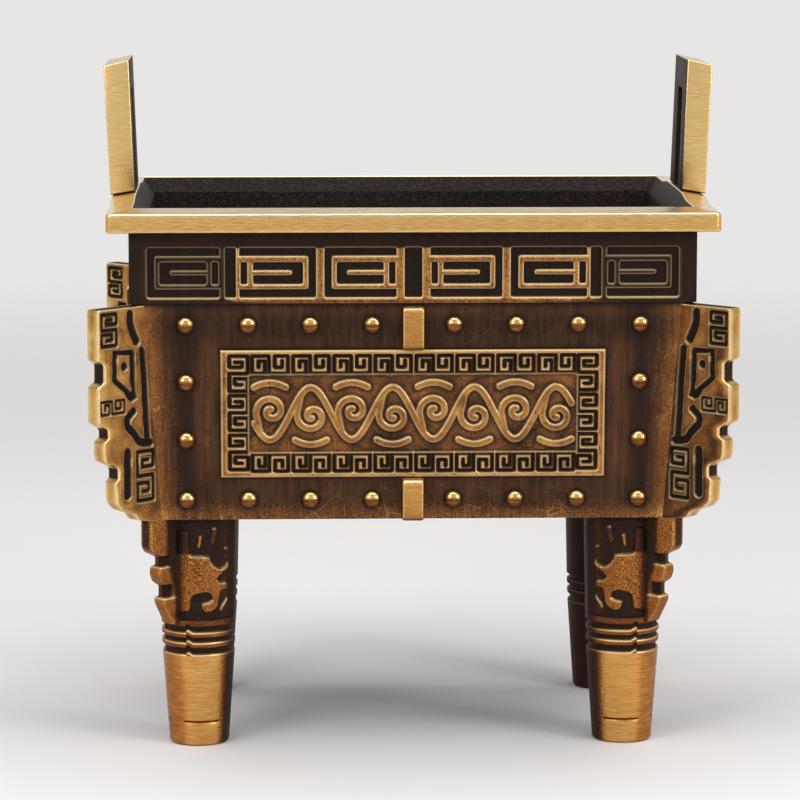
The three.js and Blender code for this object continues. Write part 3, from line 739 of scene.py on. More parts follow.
def baked(spots, tree, name, **inputs):
    """Runs a node tree on a mesh of single points, with named inputs, and gives a plain object."""
    mesh = bpy.data.meshes.new(name)
    mesh.from_pydata([tuple(spot * MM) for spot in spots], [], [])
    piece = bpy.data.objects.new(name, mesh)
    bpy.context.scene.collection.objects.link(piece)
    modifier = piece.modifiers.new("nodes", "NODES")
    modifier.node_group = tree
    for item in tree.interface.items_tree:
        if item.item_type == "SOCKET" and item.in_out == "INPUT" and item.name in inputs:
            modifier[item.identifier] = inputs[item.name]
    piece.data = frozen(piece)
    return piece


def corners_of(mesh):
    """A mesh's points in millimetres."""
    flat = np.empty(3 * len(mesh.vertices), dtype=np.float32)
    mesh.vertices.foreach_get("co", flat)
    return flat.reshape(-1, 3).astype(float) / MM


def boss_tone_and_painted_light(points, spots, facing):
    """A dome with painted light from above, and black at its foot."""
    apart = points[:, None, :] - spots[None, :, :]
    nearest = np.argmin((apart ** 2).sum(-1), axis=1)
    offset = apart[np.arange(len(points)), nearest]
    proud, up = offset @ facing, offset[:, 2] / boss_radius
    # Painted highlight pale on top, a painted dark reflection across the waist, and painted shade orange
    # below.
    tone = mixed(0.42, 0.86, ease(up, -0.12, 0.45)) - 0.12 * bell(up, -0.05, 0.13)
    tone = tone - 0.12 * (1 - ease(proud, 0.3, 0.9))
    return mixed(0.14, tone, ease(proud, 0.0, 0.25))


boss = boss_form()
bosses_tree = boss_tree()
for side in SIDES:
    along, height = np.array(boss_places(side)).T
    spots = on_panel(side, along, 0.0, (height - plaque_bottom) / math.cos(panel_angle))
    facing = on_panel(side, 0.0, 1.0, 0.0) - on_panel(side, 0.0, 0.0, 0.0)
    domes = baked(spots, bosses_tree, side["name"] + "_bosses",
                  Form=boss, Facing=tuple(facing), Finish=brushed_brass)
    points = corners_of(domes.data)
    mark(domes.data, len(points), tone=boss_tone_and_painted_light(points, spots, facing), cast=0.0)
    dress(domes, brushed_brass)
bpy.data.objects.remove(boss)

# %% [markdown]
# ## The plaques
#
# The plaque is a shallow tray: a plain margin, a border of square spirals cut deep and left
# black, and a lower field with raised ornament. The ornament is a traditional cloud scroll: a
# running wave with a spiral in each hollow. Its tops are gold, and their rubbed edges carry a
# painted highlight where they face upwards. The ground is dark, sandy and finely crackled,
# with painted shade round the ornament and along the field's edge.

# %% Plaque drawing
end_margin = 2.4
edge_margin = 1.5
border = 7.0
field_drop = 0.62
groove_breadth = 1.16
groove_depth = 0.75
scroll_breadth = 2.25
scroll_swing = 8.8
scroll_margin = 1.6
curl_radius = 5.2
plaque_round = 0.45
plaque_back = -0.9
point_gap = 0.29


def curl(cx, cy, r0, r1, start, turns, steps=30):
    """A spiral as points, from the inside out."""
    t = np.linspace(0, 1, steps)
    angle, radius = start + 2 * math.pi * turns * t, r0 + (r1 - r0) * t
    return list(zip(cx + radius * np.cos(angle), cy + radius * np.sin(angle)))


def running_scroll(inner, centre, waves):
    """Strokes of a long wave, with a curl and a wisp for each crest and each trough."""
    half_wave = inner / waves
    strokes = [[(x, centre + scroll_swing * math.sin(math.pi * (x + inner) / half_wave))
                for x in np.linspace(scroll_margin - inner, inner - scroll_margin, 24 * waves)]]
    shoulder = 0.24 * half_wave
    meets = (shoulder, scroll_swing * math.cos(math.pi * shoulder / half_wave))
    spiral = curl(-0.4, -0.9, 0.7, curl_radius, -2.45 * math.pi, 1.3) + [meets]
    wisp = [(x, 0.055 * x * x - 10.4) for x in np.linspace(-curl_radius, curl_radius, 9)]
    for n in range(2 * waves):
        up, middle = (-1) ** n, (n + 0.5) * half_wave - inner
        strokes += [[(middle + x, centre + up * y) for x, y in path] for path in (spiral, wisp)]
    return strokes


def meander_strokes(half, height, rows, columns=3):
    """The border's grooves: a row along the top and bottom and a column at each end."""
    strokes = []
    inner = half - end_margin - border
    pitch, tall = 2 * inner / rows, border - 0.2
    for left in (n * pitch + 0.25 - inner for n in range(rows)):
        strokes.append(fitted(ROW, left, height - edge_margin, pitch, tall))
        strokes.append(fitted(ROW, left, edge_margin, pitch, -tall))
    pitch = (height - 2 * edge_margin) / columns
    for top in (height - edge_margin - n * pitch for n in range(columns)):
        strokes.append(fitted(COLUMN, end_margin - half, top, border, pitch))
        strokes.append(fitted(COLUMN, inner, top, border, pitch, mirror_u=True))
    return strokes


def plaque_relief(u, v, half, height, rows):
    """Depth, tone, casting skin and sharp lines of a plaque's face."""
    inner, frame_high = half - end_margin - border, edge_margin + border
    outline = to_box(u, v, -half, half, 0, height)
    field = to_box(u, v, -inner, inner, frame_high, height - frame_high)
    grooves = to_strokes(u, v, meander_strokes(half, height, rows)) - groove_breadth / 2
    ornament = to_strokes(u, v, running_scroll(inner, height / 2, rows // 2)) - scroll_breadth / 2
    lowered, raised = carve(field, 0.2), carve(ornament, 0.2)
    sunk = carve(grooves) * (1 - lowered)
    depth = groove_depth * sunk + field_drop * lowered * (1 - raised)
    # Painted shade on the ground: dark round the ornament's foot and along the field's edge.
    ground = 0.39 * painted_foot_shade(ornament, 0.80, 0.9) - 0.12 * bell(field, 0.0, 0.9)
    frame_tone = mixed(0.47, 0.62, bell(grooves, 0.5, 0.35))
    tone = mixed(mixed(frame_tone, mixed(ground, 0.52, raised), lowered), 0.03, sunk)
    cast = mixed(0.35, mixed(0.8, 0.4, raised), lowered)
    # Sharp lines: rubbed edges with a painted highlight, brightest where they face upwards.
    line = bright_edge(ornament, v, 1, 0.40, 0.90, 0.20, 0.22) * lowered
    line = line + bright_edge(-grooves, v, 1, 0.34, 0.62, 0.25, 0.18) * (1 - lowered)
    line = np.maximum(line, bright_edge(-field, v, 1, 0.40, 0.80, 0.30, 0.22))
    line = np.maximum(line, bright_edge(outline, v, 1, 0.50, 1.00, 0.35, 0.30))
    return depth, tone, cast, line


def make_plaque(side):
    """The face's rows of points, and two more rows that carry each ring round the back."""
    half = side["half_plaque"]
    height = (plaque_top - plaque_bottom) / math.cos(panel_angle)
    across = np.linspace(-half, half, int(2 * half / point_gap))
    up = np.linspace(0, height, int(height / point_gap))
    u, v = np.meshgrid(across, up, indexing="ij")
    depth, tone, cast, line = plaque_relief(u, v, half, height, 8 if side["long"] else 4)
    from_edge = np.minimum(half - np.abs(u), np.minimum(v, height - v))
    proud = plaque_proud - depth - plaque_round * (1 - ease(from_edge, -0.4, 0.8))
    back = [on_panel(side, across, plaque_back, rise)[:, None] for rise in (height, 0.0)]
    rings = np.concatenate([on_panel(side, u, proud, v), *back], axis=1)
    around = ((0, 0), (0, 2))
    tone = np.pad(tone, around, constant_values=0.1)
    skin(side["name"] + "_plaque", rings, golden_bronze, "golden_bronze",
         tone, np.pad(cast, around), np.pad(line, around))


for side in SIDES:
    make_plaque(side)

# %% [markdown]
# ## Softened castings
#
# The handles, lugs and floor already have their true shape in the frame. What they lack is
# the small radius that filing and polishing leave on an edge, and that radius is what catches
# the light. A copy of the frame's mesh is merged, its flat faces are joined, and a bevel
# rounds its edges. The bevel's own points are the rubbed ones, and they are easy to find:
# their normals stand between the faces.

# %% Softening
handle_hole_top = span("left_handle")[1][2] - 10.5


def softened(node, radius, finish, paint):
    """A copy of a frame node with rounded edges, painted by a function of points and normals."""
    piece = bpy.data.objects.new(node + "_casting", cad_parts[node].data.copy())
    bpy.context.scene.collection.objects.link(piece)
    for kind, settings in (
            ("WELD", dict(merge_threshold=2e-6)),
            ("DECIMATE", dict(decimate_type="DISSOLVE", angle_limit=math.radians(1.0))),
            ("BEVEL", dict(width=radius * MM, segments=4, limit_method="ANGLE",
                           angle_limit=math.radians(25)))):
        modifier = piece.modifiers.new(kind, kind)
        for key, value in settings.items():
            setattr(modifier, key, value)
    mesh = piece.data = frozen(piece)
    mesh.shade_smooth()
    mesh.set_sharp_from_angle(angle=math.radians(40))
    normals = np.array([vertex.normal for vertex in mesh.vertices])
    tone, cast = paint(corners_of(mesh), normals)
    mark(mesh, len(normals), tone=tone, cast=cast)
    dress(piece, finish, node)


def lug_tone_and_painted_light(points, normals):
    """Gold in front, rubbed bright on its side edges, with painted light from above and painted shade."""
    across = 0 if abs(points[:, 0].mean()) < 1 else 1
    z, upward, sideways = points[:, 2], normals[:, 2], np.abs(normals[:, across])
    # Painted light: paler higher up and on faces turned upwards; painted shade brown on the flanks and on
    # faces turned downwards.
    tone = mixed(0.45, 0.58, (z - z.min()) / (z.max() - z.min()))
    tone = mixed(mixed(tone, 0.80, bell(sideways, 0.4, 0.3)), 0.28, ease(sideways, 0.75, 0.95))
    tone = mixed(tone, 0.94, ease(upward, 0.2, 0.7))
    return mixed(tone, 0.42, ease(-upward, 0.3, 0.9)), 0.5


def handle_tone_and_painted_shade(points, normals):
    """Gold outside, rubbed bright on its edges, with black painted shade inside, in the hole and below."""
    inward = -normals[:, 0] * np.sign(points[:, 0])
    from_hole = to_box(np.abs(points[:, 1]), points[:, 2], -7.0, 7.0, rim_bottom, handle_hole_top, 2.5)
    # Painted shade: the inner face, the hole and the faces turned downwards are black.
    dark = np.maximum(ease(inward, 0.80, 0.97), 1 - ease(from_hole, 0.03, 0.25))
    foot = ease(-normals[:, 2], 0.1, 0.5)
    wear_and_painted_light = ease(1 - np.abs(normals).max(1), 0.03, 0.16)
    return mixed(mixed(0.84, 0.93, wear_and_painted_light), 0.05, np.maximum(dark, foot)), 0.3 * dark


def floor_patina(points, normals):
    return 0.05, 2.5


for side in SIDES:
    for place in ("_upper_lug", "_lower_lug"):
        softened(side["name"] + place, 0.8, brushed_brass, lug_tone_and_painted_light)
for node in ("left_handle", "right_handle"):
    softened(node, 0.45, brushed_brass, handle_tone_and_painted_shade)
softened("floor_plate", 0.4, dark_bronze, floor_patina)

# %% [markdown]
# ## The rim
#
# The rim is one ring with the same section all round: a brushed front face, a top that slopes
# outwards to a bright edge, and a black chamfer down to the inside of the walls. It rises a
# little under each handle. Each point of the section carries its own tone.

# %% Rim ring
rim_corner_radius = 2.0
rim_top_breadth = 8.4
rim_outer_top = rim_bottom + 6.2
rim_inner_top = rim_outer_top + 1.4
seat_rise = 1.5
seat_half = 21.0
seat_run = 20.0
seat_depth = 13.0


def rim_section():
    """Points as (inset, height, tone), round the section from the underside's inner edge."""
    foot = frieze_inset + wall_thickness
    b, t, breadth, top = rim_bottom, rim_outer_top, rim_top_breadth, rim_inner_top
    slope = (top - t) / breadth
    # Tones: the underside dark with painted shade, the front brushed gold, the top paler with a painted
    # highlight from above, its front edge brightest, and the chamfer inside black.
    return np.array([
        (foot, b, 0.05), (7.0, b, 0.06), (0.9, b, 0.20), (0.45, b + 0.03, 0.50), (0.12, b + 0.25, 0.84),
        (0.0, b + 0.7, 0.80), (0.0, b + 1.3, 0.75), (0.0, t - 1.3, 0.78), (0.0, t - 0.7, 0.84),
        (0.10, t - 0.25, 0.97), (0.40, t, 1.0), (1.0, t + slope, 0.96), (1.8, t + 1.8 * slope, 0.94),
        (breadth - 1.2, top - 1.2 * slope, 0.93), (breadth - 0.6, top - 0.6 * slope, 0.95),
        (breadth - 0.25, top - 0.08, 0.96), (breadth - 0.05, top - 0.25, 0.90),
        (breadth + 0.1, top - 0.45, 0.04), (breadth + 0.5, top - 1.2, 0.0),
        (foot, b + 2.4, 0.02), (foot, b + 1.0, 0.02),
    ])


def rim_path(inset):
    """One lap at an inset: rounded corners, and extra stations at the handle seats."""
    radius = max(rim_corner_radius - inset, 0.06)
    x, y = half_length - inset - radius, half_width - inset - radius
    quarter = [(x + radius * math.cos(t), y + radius * math.sin(t)) for t in np.linspace(0, math.pi / 2, 7)]
    seats = [half_width - 8, *(seat_half + share * seat_run for share in (1, 0.75, 0.5, 0.25, 0)), 0.0]
    lap = [(half_length - inset, s) for s in [-s for s in seats[:-1]] + seats[::-1]]
    lap += quarter + [(-px, py) for px, py in quarter[::-1]]
    return np.array(lap + [(-px, -py) for px, py in lap])


section = rim_section()
laps = []
for inset, z, tone in section:
    path = rim_path(inset)
    lift = seat_rise * ease(seat_half + seat_run - np.abs(path[:, 1]), 0, seat_run)
    lift = lift * (np.abs(path[:, 0]) > half_length - seat_depth)
    laps.append(np.column_stack([path, z + lift * ease(z, rim_bottom + 2.4, rim_outer_top - 0.8)]))
tones = section[:, 2][None, :]
skin("rim_frame", np.swapaxes(laps, 0, 1), brushed_brass, "brushed_brass",
     tones, 2.5 * (tones < 0.1), 0.0, name="rim_casting", closed=True)

# %% [markdown]
# ## The corner flanges
#
# A flange is a plate on the corner's diagonal. Its outer edge steps in and out in hooked
# lobes, and both faces are carved: an eye with a pupil, long grooves, a curl and three small
# meander cells. Each height gets one ring: root, face, edge, face, and back to the root. The
# right-hand flanges are darker with painted shade, most of all behind the notches, and every
# face gets painted shade by its root and round its carving.

# %% Flange outline and carving, as reach beyond the rim's corner and height
flange_top = span("front_right_corner_flange")[1][2]
flange_half = 2.75
flange_tongue = 3.2
flange_depth = 0.85
flange_round = 0.45
lid_round = 0.7
FLANGE_EDGE = [
    (-18.2, 78.0), (-11.4, 78.9), (-9.3, 81.4), (-4.0, 83.3), (-1.5, 85.7), (-1.0, 92.8), (-2.5, 93.6),
    (-2.5, 97.0), (-1.5, 98.0), (3.1, 99.9), (3.9, 102.0), (3.9, 106.3), (1.7, 107.6), (1.7, 110.2),
    (2.8, 111.0), (6.2, 113.0), (6.2, 124.6), (3.4, 126.0), (3.4, 131.8), (6.2, 133.5), (6.2, 149.2),
    (5.7, 149.8),
]
NOTCHES = [(93.4, 97.6), (107.2, 111.2), (125.4, 132.4)]
FLANGE_GROOVES = [
    (1.5, [(-8.2, 147.4), (-8.1, 144.7), (-9.4, 141.3), (-10.9, 138.5)]),
    (1.3, [(-13.3, 135.1), (-14.2, 125.0), (-14.8, 112.8), (-15.4, 105.4)]),
    (1.3, [(-9.4, 115.5), (-6.6, 113.3), (-6.7, 110.6), (-9.7, 108.0), (-11.7, 105.3), (-14.1, 104.5),
           (-16.7, 104.4)]),
    (1.6, [(-6.6, 102.0), (-6.4, 88.0)]),
    (0.60, fitted(COLUMN, -2.7, 148.6, 7.6, 11.7)),
    (0.42, fitted(ROW, -5.8, 120.1, 11.8, 4.9)),
    (0.64, fitted(COLUMN, -18.4, 102.4, 8.0, 18.4)),
]
EYE = [(-0.3, 136.1), (-0.1, 126.3), (-2.4, 124.2), (-5.2, 122.2), (-6.9, 119.6), (-8.5, 118.7),
       (-10.9, 119.7), (-10.2, 122.6), (-10.0, 134.9), (-9.3, 135.8)]
EYE_ISLAND = [(-2.3, 134.6), (-2.2, 126.7), (-4.0, 125.4), (-6.5, 123.5), (-8.4, 121.9), (-8.6, 122.7),
              (-7.9, 126.1), (-7.8, 134.1)]
PUPIL = (-5.4, 130.6, 1.4)
STRIP_ACROSS = np.array([-0.82, -0.4, 0.0, 0.4, 0.82])
STRIP_TONE = np.array([[0.84, 0.72, 0.68, 0.72, 0.84]])


def reach_at(heights, outline, **ends):
    """An outline's reach at each height."""
    reach, z = np.array(outline).T
    return np.interp(heights, z, reach, **ends)


def rounded(values, reach=2):
    """An outline with its corners rounded: each value averaged with its neighbours."""
    weights = reach + 1 - np.abs(np.arange(-reach, reach + 1))
    padded = np.pad(values[:, 0], reach, mode="edge")
    return np.convolve(padded, weights / weights.sum(), mode="valid")[:, None]


def flange_carving(u, z):
    """Signed distance to all the recesses of a flange's face."""
    pupil = np.hypot(u - PUPIL[0], z - PUPIL[1]) - PUPIL[2]
    eye = np.maximum(to_polygon(u, z, EYE), -to_polygon(u, z, EYE_ISLAND))
    grooves = [to_strokes(u, z, [path]) - half for half, path in FLANGE_GROOVES]
    return np.minimum.reduce([pupil, eye, *grooves])


def out_and_back(face, strip, first=1):
    """A ring's values: out over one face, over the edge strip, and back over the other face."""
    strip = np.broadcast_to(strip, (len(face), len(STRIP_ACROSS)))
    return np.concatenate([first * face, strip, face[:, ::-1]], axis=1)


def make_flange(corner):
    heights = graded(wall_bottom, flange_top, [z for reach, z in FLANGE_EDGE], 0.25, 0.32)[:, None]
    edge = rounded(reach_at(heights, FLANGE_EDGE))
    seat = -(panel_inset(heights) + 0.2) * math.sqrt(2) - 1.9
    root = -(panel_inset(heights) + flange_tongue) * math.sqrt(2)
    u = np.concatenate([root, mixed(root, seat, 0.6), mixed(seat, edge, np.linspace(0, 1, 96))], axis=1)
    z = np.broadcast_to(heights, u.shape)
    to_edge = edge - u
    signed = flange_carving(u, z)
    shown = ease(u - seat, 0.0, 0.5) * ease(to_edge, 0.4, 0.9)
    recess = carve(signed) * shown
    width = flange_half - flange_depth * recess - flange_round * (1 - ease(to_edge, 0.0, 0.7)) ** 2
    # Painted shade: the right-hand flanges darker, most of all behind the notches; every face darker towards
    # its root and round its carving.
    painted_side_shade = -0.03
    if corner["x"] > 0:
        notch_shade = bell(to_edge, 4.0, 2.2) * (1 - ease(z, 134, 144))
        painted_side_shade = 0.12 * (1 - 0.5 * ease(z, 128, 142)) + 0.15 * notch_shade
    tone = 0.52 - painted_side_shade + 0.12 * ease(z, 96, 125) - 0.14 * (1 - ease(u - seat, 0, 6))
    tone = (tone + 0.14 * bell(to_edge, 1.2, 1.4)) * painted_foot_shade(signed, 0.35, 0.9)
    tone = mixed(mixed(tone, 0.90, bell(to_edge, 0.2, 0.4)), 0.04, recess)
    # Sharp lines: rubbed edges with a painted highlight where the carving's edges face upwards.
    line = bright_edge(-signed, z, 0, 0.36, 0.80, 0.22, 0.18) * shown
    line = np.maximum(line, 0.50 * bell(to_edge, 0.2, 0.4))
    line[-2:] = np.maximum(line[-2:], 0.8)
    in_notch = sum(between(heights, low, low + 0.7, high - 0.7, high) for low, high in NOTCHES)
    lips = sum(bell(heights, low - 0.2, 0.3) + bell(heights, high + 0.2, 0.3) for low, high in NOTCHES)
    ring_u = out_and_back(u, edge)
    ring_v = out_and_back(width, STRIP_ACROSS * (flange_half - flange_round), first=-1)
    rings = np.stack([ring_u, ring_v, np.broadcast_to(heights, ring_u.shape)], axis=-1)
    tones = out_and_back(tone, mixed(STRIP_TONE, 0.10, in_notch))
    casts = out_and_back(0.4 + 0.5 * (1 - ease(z, 90, 110)), 0.2)
    lines = out_and_back(line, 0.8 * lips)
    rings, tones, casts, lines = (
        np.concatenate([value, value[-1:]]) for value in (rings, tones, casts, lines))
    rings[-1, :, 0] = np.minimum(rings[-1, :, 0], edge[-1] - lid_round)
    rings[-1, :, 1] = np.clip(rings[-1, :, 1], lid_round - flange_half, flange_half - lid_round)
    tones[-2], tones[-1], lines[-1] = 0.85, 0.14, 0.0
    placed = on_corner(corner, 0.0, *np.moveaxis(rings, -1, 0))
    skin(corner["name"] + "_corner_flange", placed, golden_bronze, "golden_bronze",
         tones, casts, lines, sharp=45)


for corner in CORNERS:
    make_flange(corner)

# %% [markdown]
# ## The legs
#
# A leg is a tapered column. Its upper half carries a mask in relief, the same on both sides of
# a notched spine that stands on the outer diagonal. Three grooves divide it from the plain
# brushed foot. Rings of points follow the column and run out along the spine and back.

# %% Leg shape, as reach from the leg's axis and height
leg_inset = 28.7
LEG_PROFILE = [(9.9, 0.0), (12.1, 31.6), (12.4, 41.0), (13.3, 78.0)]
RING_GROOVES = [(39.2, 41.0), (35.7, 37.4), (31.6, 33.9)]
foot_round = 1.2
groove_cut = 0.85
seam_height = 8.4
seam_depth = 0.35
mask_low, mask_high = 43.2, 77.0
mask_depth = 0.95
mask_radius = 13.0
carved_to = math.radians(105)
spine_meets = 11.0
spine_half = 2.6
spine_round = 0.45
pocket_depth = 1.3
SPINE = [
    (11.4, 41.2), (13.9, 41.4), (14.6, 43.0), (16.0, 45.5), (17.1, 47.5), (18.1, 49.5), (18.3, 51.1),
    (17.5, 51.6), (17.5, 55.5), (18.0, 56.0), (19.4, 57.0), (20.3, 59.5), (20.0, 61.7), (19.0, 62.3),
    (19.0, 65.4), (19.4, 65.8), (22.6, 67.0), (23.9, 69.0), (23.9, 78.0),
]
SPINE_NOTCHES = [(51.3, 55.8), (62.0, 65.6)]
VALLEY = [(13.1, 45.0), (13.1, 48.0), (13.7, 54.5), (15.4, 59.6), (16.6, 62.5), (17.0, 66.0), (17.0, 78.0)]

# %% [markdown]
# The mask is one outline, given by degrees round from the spine and height. It starts at the
# valley beside the spine, runs over the brow, down to the jaw, and back under the tusk.

# %% Mask outline and the small marks round it
MASK = [
    (18.1, 73.8), (31.5, 73.8), (31.9, 70.9), (31.7, 68.0), (32.8, 65.8), (34.7, 65.1), (49.5, 65.0),
    (63.1, 64.7), (64.9, 63.2), (69.4, 61.7), (76.1, 60.7), (81.8, 60.3), (89.4, 60.7), (96.1, 61.3),
    (99.7, 62.2), (97.1, 60.7), (94.4, 60.0), (86.3, 59.1), (79.0, 58.1), (74.8, 57.1), (79.0, 56.0),
    (86.4, 55.5), (93.8, 55.6), (95.3, 54.5), (95.7, 53.4), (86.5, 53.4), (82.0, 53.1), (80.8, 52.1),
    (79.1, 50.7), (78.4, 49.0), (74.9, 47.4), (68.1, 46.4), (60.2, 45.9), (55.1, 46.5), (50.7, 47.7),
    (51.4, 48.7), (56.5, 49.1), (64.2, 49.4), (68.1, 50.1), (68.8, 51.2), (65.5, 52.3), (57.8, 52.9),
    (49.0, 52.7), (40.2, 52.1), (34.9, 51.1), (33.5, 49.3), (32.7, 47.6), (30.6, 46.5), (20.8, 46.2),
    (9.8, 45.9), (2.5, 45.0),
]
CRESCENT = [(98.7, 50.4), (97.9, 48.8), (93.4, 47.2), (86.8, 45.7), (83.4, 45.4), (82.9, 46.4),
            (86.7, 47.7), (92.5, 48.9)]
DASHES = [(0.75, [(72.0, 73.6), (68.2, 69.7)]), (0.55, [(49.2, 71.2), (47.2, 68.4)])]
DOT = (94.4, 66.6, 0.75)


def unrolled(points):
    """Points given by degrees round the leg, turned into millimetres along it."""
    return [(math.radians(a) * mask_radius, z) for a, z in points]


def mask_relief(degrees, z):
    """Signed distances to the mask's plateau and to the small marks."""
    arc = np.radians(degrees) * mask_radius
    small = [to_strokes(arc, z, [unrolled(path)]) - half for half, path in DASHES]
    small.append(to_polygon(arc, z, unrolled(CRESCENT)))
    small.append(np.hypot(arc - math.radians(DOT[0]) * mask_radius, z - DOT[1]) - DOT[2])
    return to_polygon(arc, z, unrolled(MASK)), np.minimum.reduce(small)


def leg_stations():
    """Heights up the leg, angles round it from one side of the spine to the other, and the first."""
    foot = graded(0.0, 30.4, [0.0, 0.6, seam_height], 0.2, 1.6, 0.6)
    rings = np.arange(30.6, mask_low, 0.24)
    mask = np.arange(mask_low, wall_bottom, 0.26)
    heights = np.concatenate([foot, rings, mask, [wall_bottom]])
    start = math.asin(spine_half / spine_meets)
    half = np.arange(start, carved_to, 0.25 / mask_radius)
    half = np.concatenate([half, np.linspace(carved_to, math.pi, 18)])
    return heights[:, None], np.concatenate([half, 2 * math.pi - half[-2::-1]])[None, :], start


def column_form(heights, angles):
    """Radius, tone, casting skin and sharp lines of the column, for every height and angle."""
    z = np.broadcast_to(heights, (len(heights), angles.shape[1]))
    degrees = np.degrees(np.minimum(angles, 2 * math.pi - angles)) + 0 * z
    signed_degrees = np.where(angles < math.pi, degrees, -degrees)
    shifted = z - 0.9 * between(degrees, 26, 27, 27, 38)
    groove = np.maximum.reduce([ease(np.minimum(shifted - low, high - shifted), -0.15, 0.35)
                                for low, high in RING_GROOVES])
    lip = np.maximum.reduce([bell(shifted, low - 0.25, 0.28) for low, high in RING_GROOVES])
    seam = bell(z, seam_height, 0.28) * between(degrees, 14, 20, 84, 90)
    mask, small = mask_relief(degrees, z)
    plateau, marks = carve(mask), carve(small, 0.12)
    band = between(z, mask_low, mask_low + 0.7, mask_high - 0.7, mask_high)
    ground = mask_depth * band * (1 - ease(degrees, 103, 112)) * (1 - np.maximum(plateau, 0.7 * marks))
    worn_foot = foot_round - np.sqrt(foot_round ** 2 - np.clip(foot_round - z, 0, foot_round) ** 2)
    radius = reach_at(z, LEG_PROFILE) - worn_foot - ground - groove_cut * groove - seam_depth * seam
    below_brow = ease(degrees, 24, 34) * (1 - ease(z, 65.6, 66.4))
    on_foot = 1 - ease(z, 31.0, 31.3)
    # Painted light on the foot: gold on the side the light falls on, brown on its far outer side.
    outer_painted_light = mixed(0.74, 0.56, ease(-signed_degrees, -28, -6))
    # The sunk ground is black, with a painted reddish sheen running up it at 98 degrees.
    tone = mixed(0.10 + 0.13 * bell(degrees, 98, 12), 0.46, plateau)
    tone = tone - 0.25 * plateau * ease(z, 65.0, 66.5) - 0.28 * plateau * bell(degrees, 14, 9)
    # The inner side of the leg darkens on the foot and above it, part patina and part painted shade.
    for value, share in (
            (0.60, 0.7 * bell(-mask, 0.15, 0.24) * below_brow),
            (mixed(0.55, 0.26, ease(degrees, 52, 62)), marks),
            (0.36, between(z, 41.2, 41.5, 43.0, 43.5)),
            (0.42, 1 - ease(z, 41.0, 41.2)),
            (0.08, groove),
            (0.60, lip),
            (mixed(outer_painted_light, 0.15, ease(degrees, 76, 104)), on_foot * (1 - lip)),
            (0.12, seam),
            (0.12, ease(degrees, 92, 112) * (1 - on_foot) * (z > 30))):
        tone = mixed(tone, value, share)
    # Sharp lines: painted highlights on the upward edges of the mask and its marks, and on the ring lips,
    # brightest on the lit side.
    line = bright_edge(mask, z, 0, 0.0, 0.95, 0.12, 0.26) * below_brow
    line = np.maximum(line, bright_edge(small, z, 0, 0.0, 0.75, 0.10, 0.22)) * band
    wear_and_painted_light = mixed(0.35, 1.00, bell(signed_degrees, 46, 40)) * (1 - 0.7 * ease(degrees, 84, 96))
    cast = np.maximum(plateau * (1 - 0.7 * ease(degrees, 52, 80)), 0.4) * (1 - on_foot)
    return radius, tone, cast + 0.9 * on_foot * bell(degrees, 86, 9), np.maximum(line, lip * wear_and_painted_light)


def spine_form(heights, start, radius):
    """Places, tone, casting skin and sharp lines of one side of the spine and half its outer
    strip, and how far the spine stands. Its notches are pockets cut into both faces. Where it
    doesn't stand, its points close the column."""
    share = np.array([[0.08, 0.2, 0.34, 0.48, 0.60, 0.71, 0.80, 0.87, 0.93, 0.97, 1.0]])
    x0, y0 = radius * math.cos(start), radius * math.sin(start)
    reach = np.maximum(rounded(reach_at(heights, SPINE, left=0.0), 3), x0 + 0.02)
    stands = ease(reach - x0, 0.3, 1.2)
    notch = sum(between(heights, low - 0.2, low + 0.4, high - 0.4, high + 0.2) for low, high in SPINE_NOTCHES)
    side_u = mixed(x0, reach, share)
    side_v = mixed(y0, np.minimum(spine_half, y0), share)
    side_v = side_v - spine_round * stands * (1 - ease(reach - side_u, 0.0, 0.6)) ** 2
    side_v = side_v - pocket_depth * notch * ease(side_u - reach, -3.5, -2.7)
    u = np.concatenate([side_u, reach, reach], axis=1)
    v = np.concatenate([side_v, side_v[:, -1:] * [0.55, 0.0]], axis=1)
    steps = u.shape[1]
    turn = start * (1 - np.arange(1, steps + 1) / steps)[None, :]
    u, v = mixed(radius * np.cos(turn), u, stands), mixed(radius * np.sin(turn), v, stands)
    raised = ease(u - reach_at(heights, VALLEY), -0.8, 0.8)
    on_strip = np.arange(steps) >= steps - 2
    tone = mixed(mixed(0.13, 0.50, raised), 0.60, bell(reach - u, 0.25, 0.35) * ~on_strip)
    # Painted shade in the notch pockets, darker on the faces than on the strip.
    tone = mixed(tone, mixed(0.08, 0.30, on_strip), notch * ease(u - reach, -3.7, -2.9))
    tone = mixed(tone, 0.17, on_strip * ease(heights, 67.5, 69.5))
    cast = (0.4 + 0.5 * ease(heights, 60, 67)) * stands + 0 * u
    lips = sum(bell(heights, low - 0.25, 0.3) for low, high in SPINE_NOTCHES)
    return u, v, tone, cast, 0.8 * lips * raised * stands, stands


def round_spine(column, spine, stands):
    """A ring's values: round the column, out along one face of the spine, back along the other."""
    share = (np.arange(1, spine.shape[1] + 1) / (2 * spine.shape[1]))[None, :]
    first, last = column[:, :1], column[:, -1:]
    far = mixed(mixed(last, first, share), spine, stands)
    near = mixed(mixed(first, last, share), spine, stands)
    return np.concatenate([column, far, near[:, -2::-1]], axis=1)


def make_leg(corner):
    heights, angles, start = leg_stations()
    radius, *column = column_form(heights, angles)
    if corner["x"] * corner["y"] < 0:
        column = [value[:, ::-1] for value in column]
    u, v, *spine, stands = spine_form(heights, start, radius[:, :1])
    values = [round_spine(*pair, stands) for pair in zip(column, spine)]
    ring_u = np.concatenate([radius * np.cos(angles), u, u[:, -2::-1]], axis=1)
    ring_v = np.concatenate([radius * np.sin(angles), -v, v[:, -2::-1]], axis=1)
    placed = on_corner(corner, leg_inset, ring_u, ring_v, heights)
    skin(corner["name"] + "_leg", placed, leg_bronze, "brushed_brass", *values, sharp=45)


for corner in CORNERS:
    make_leg(corner)

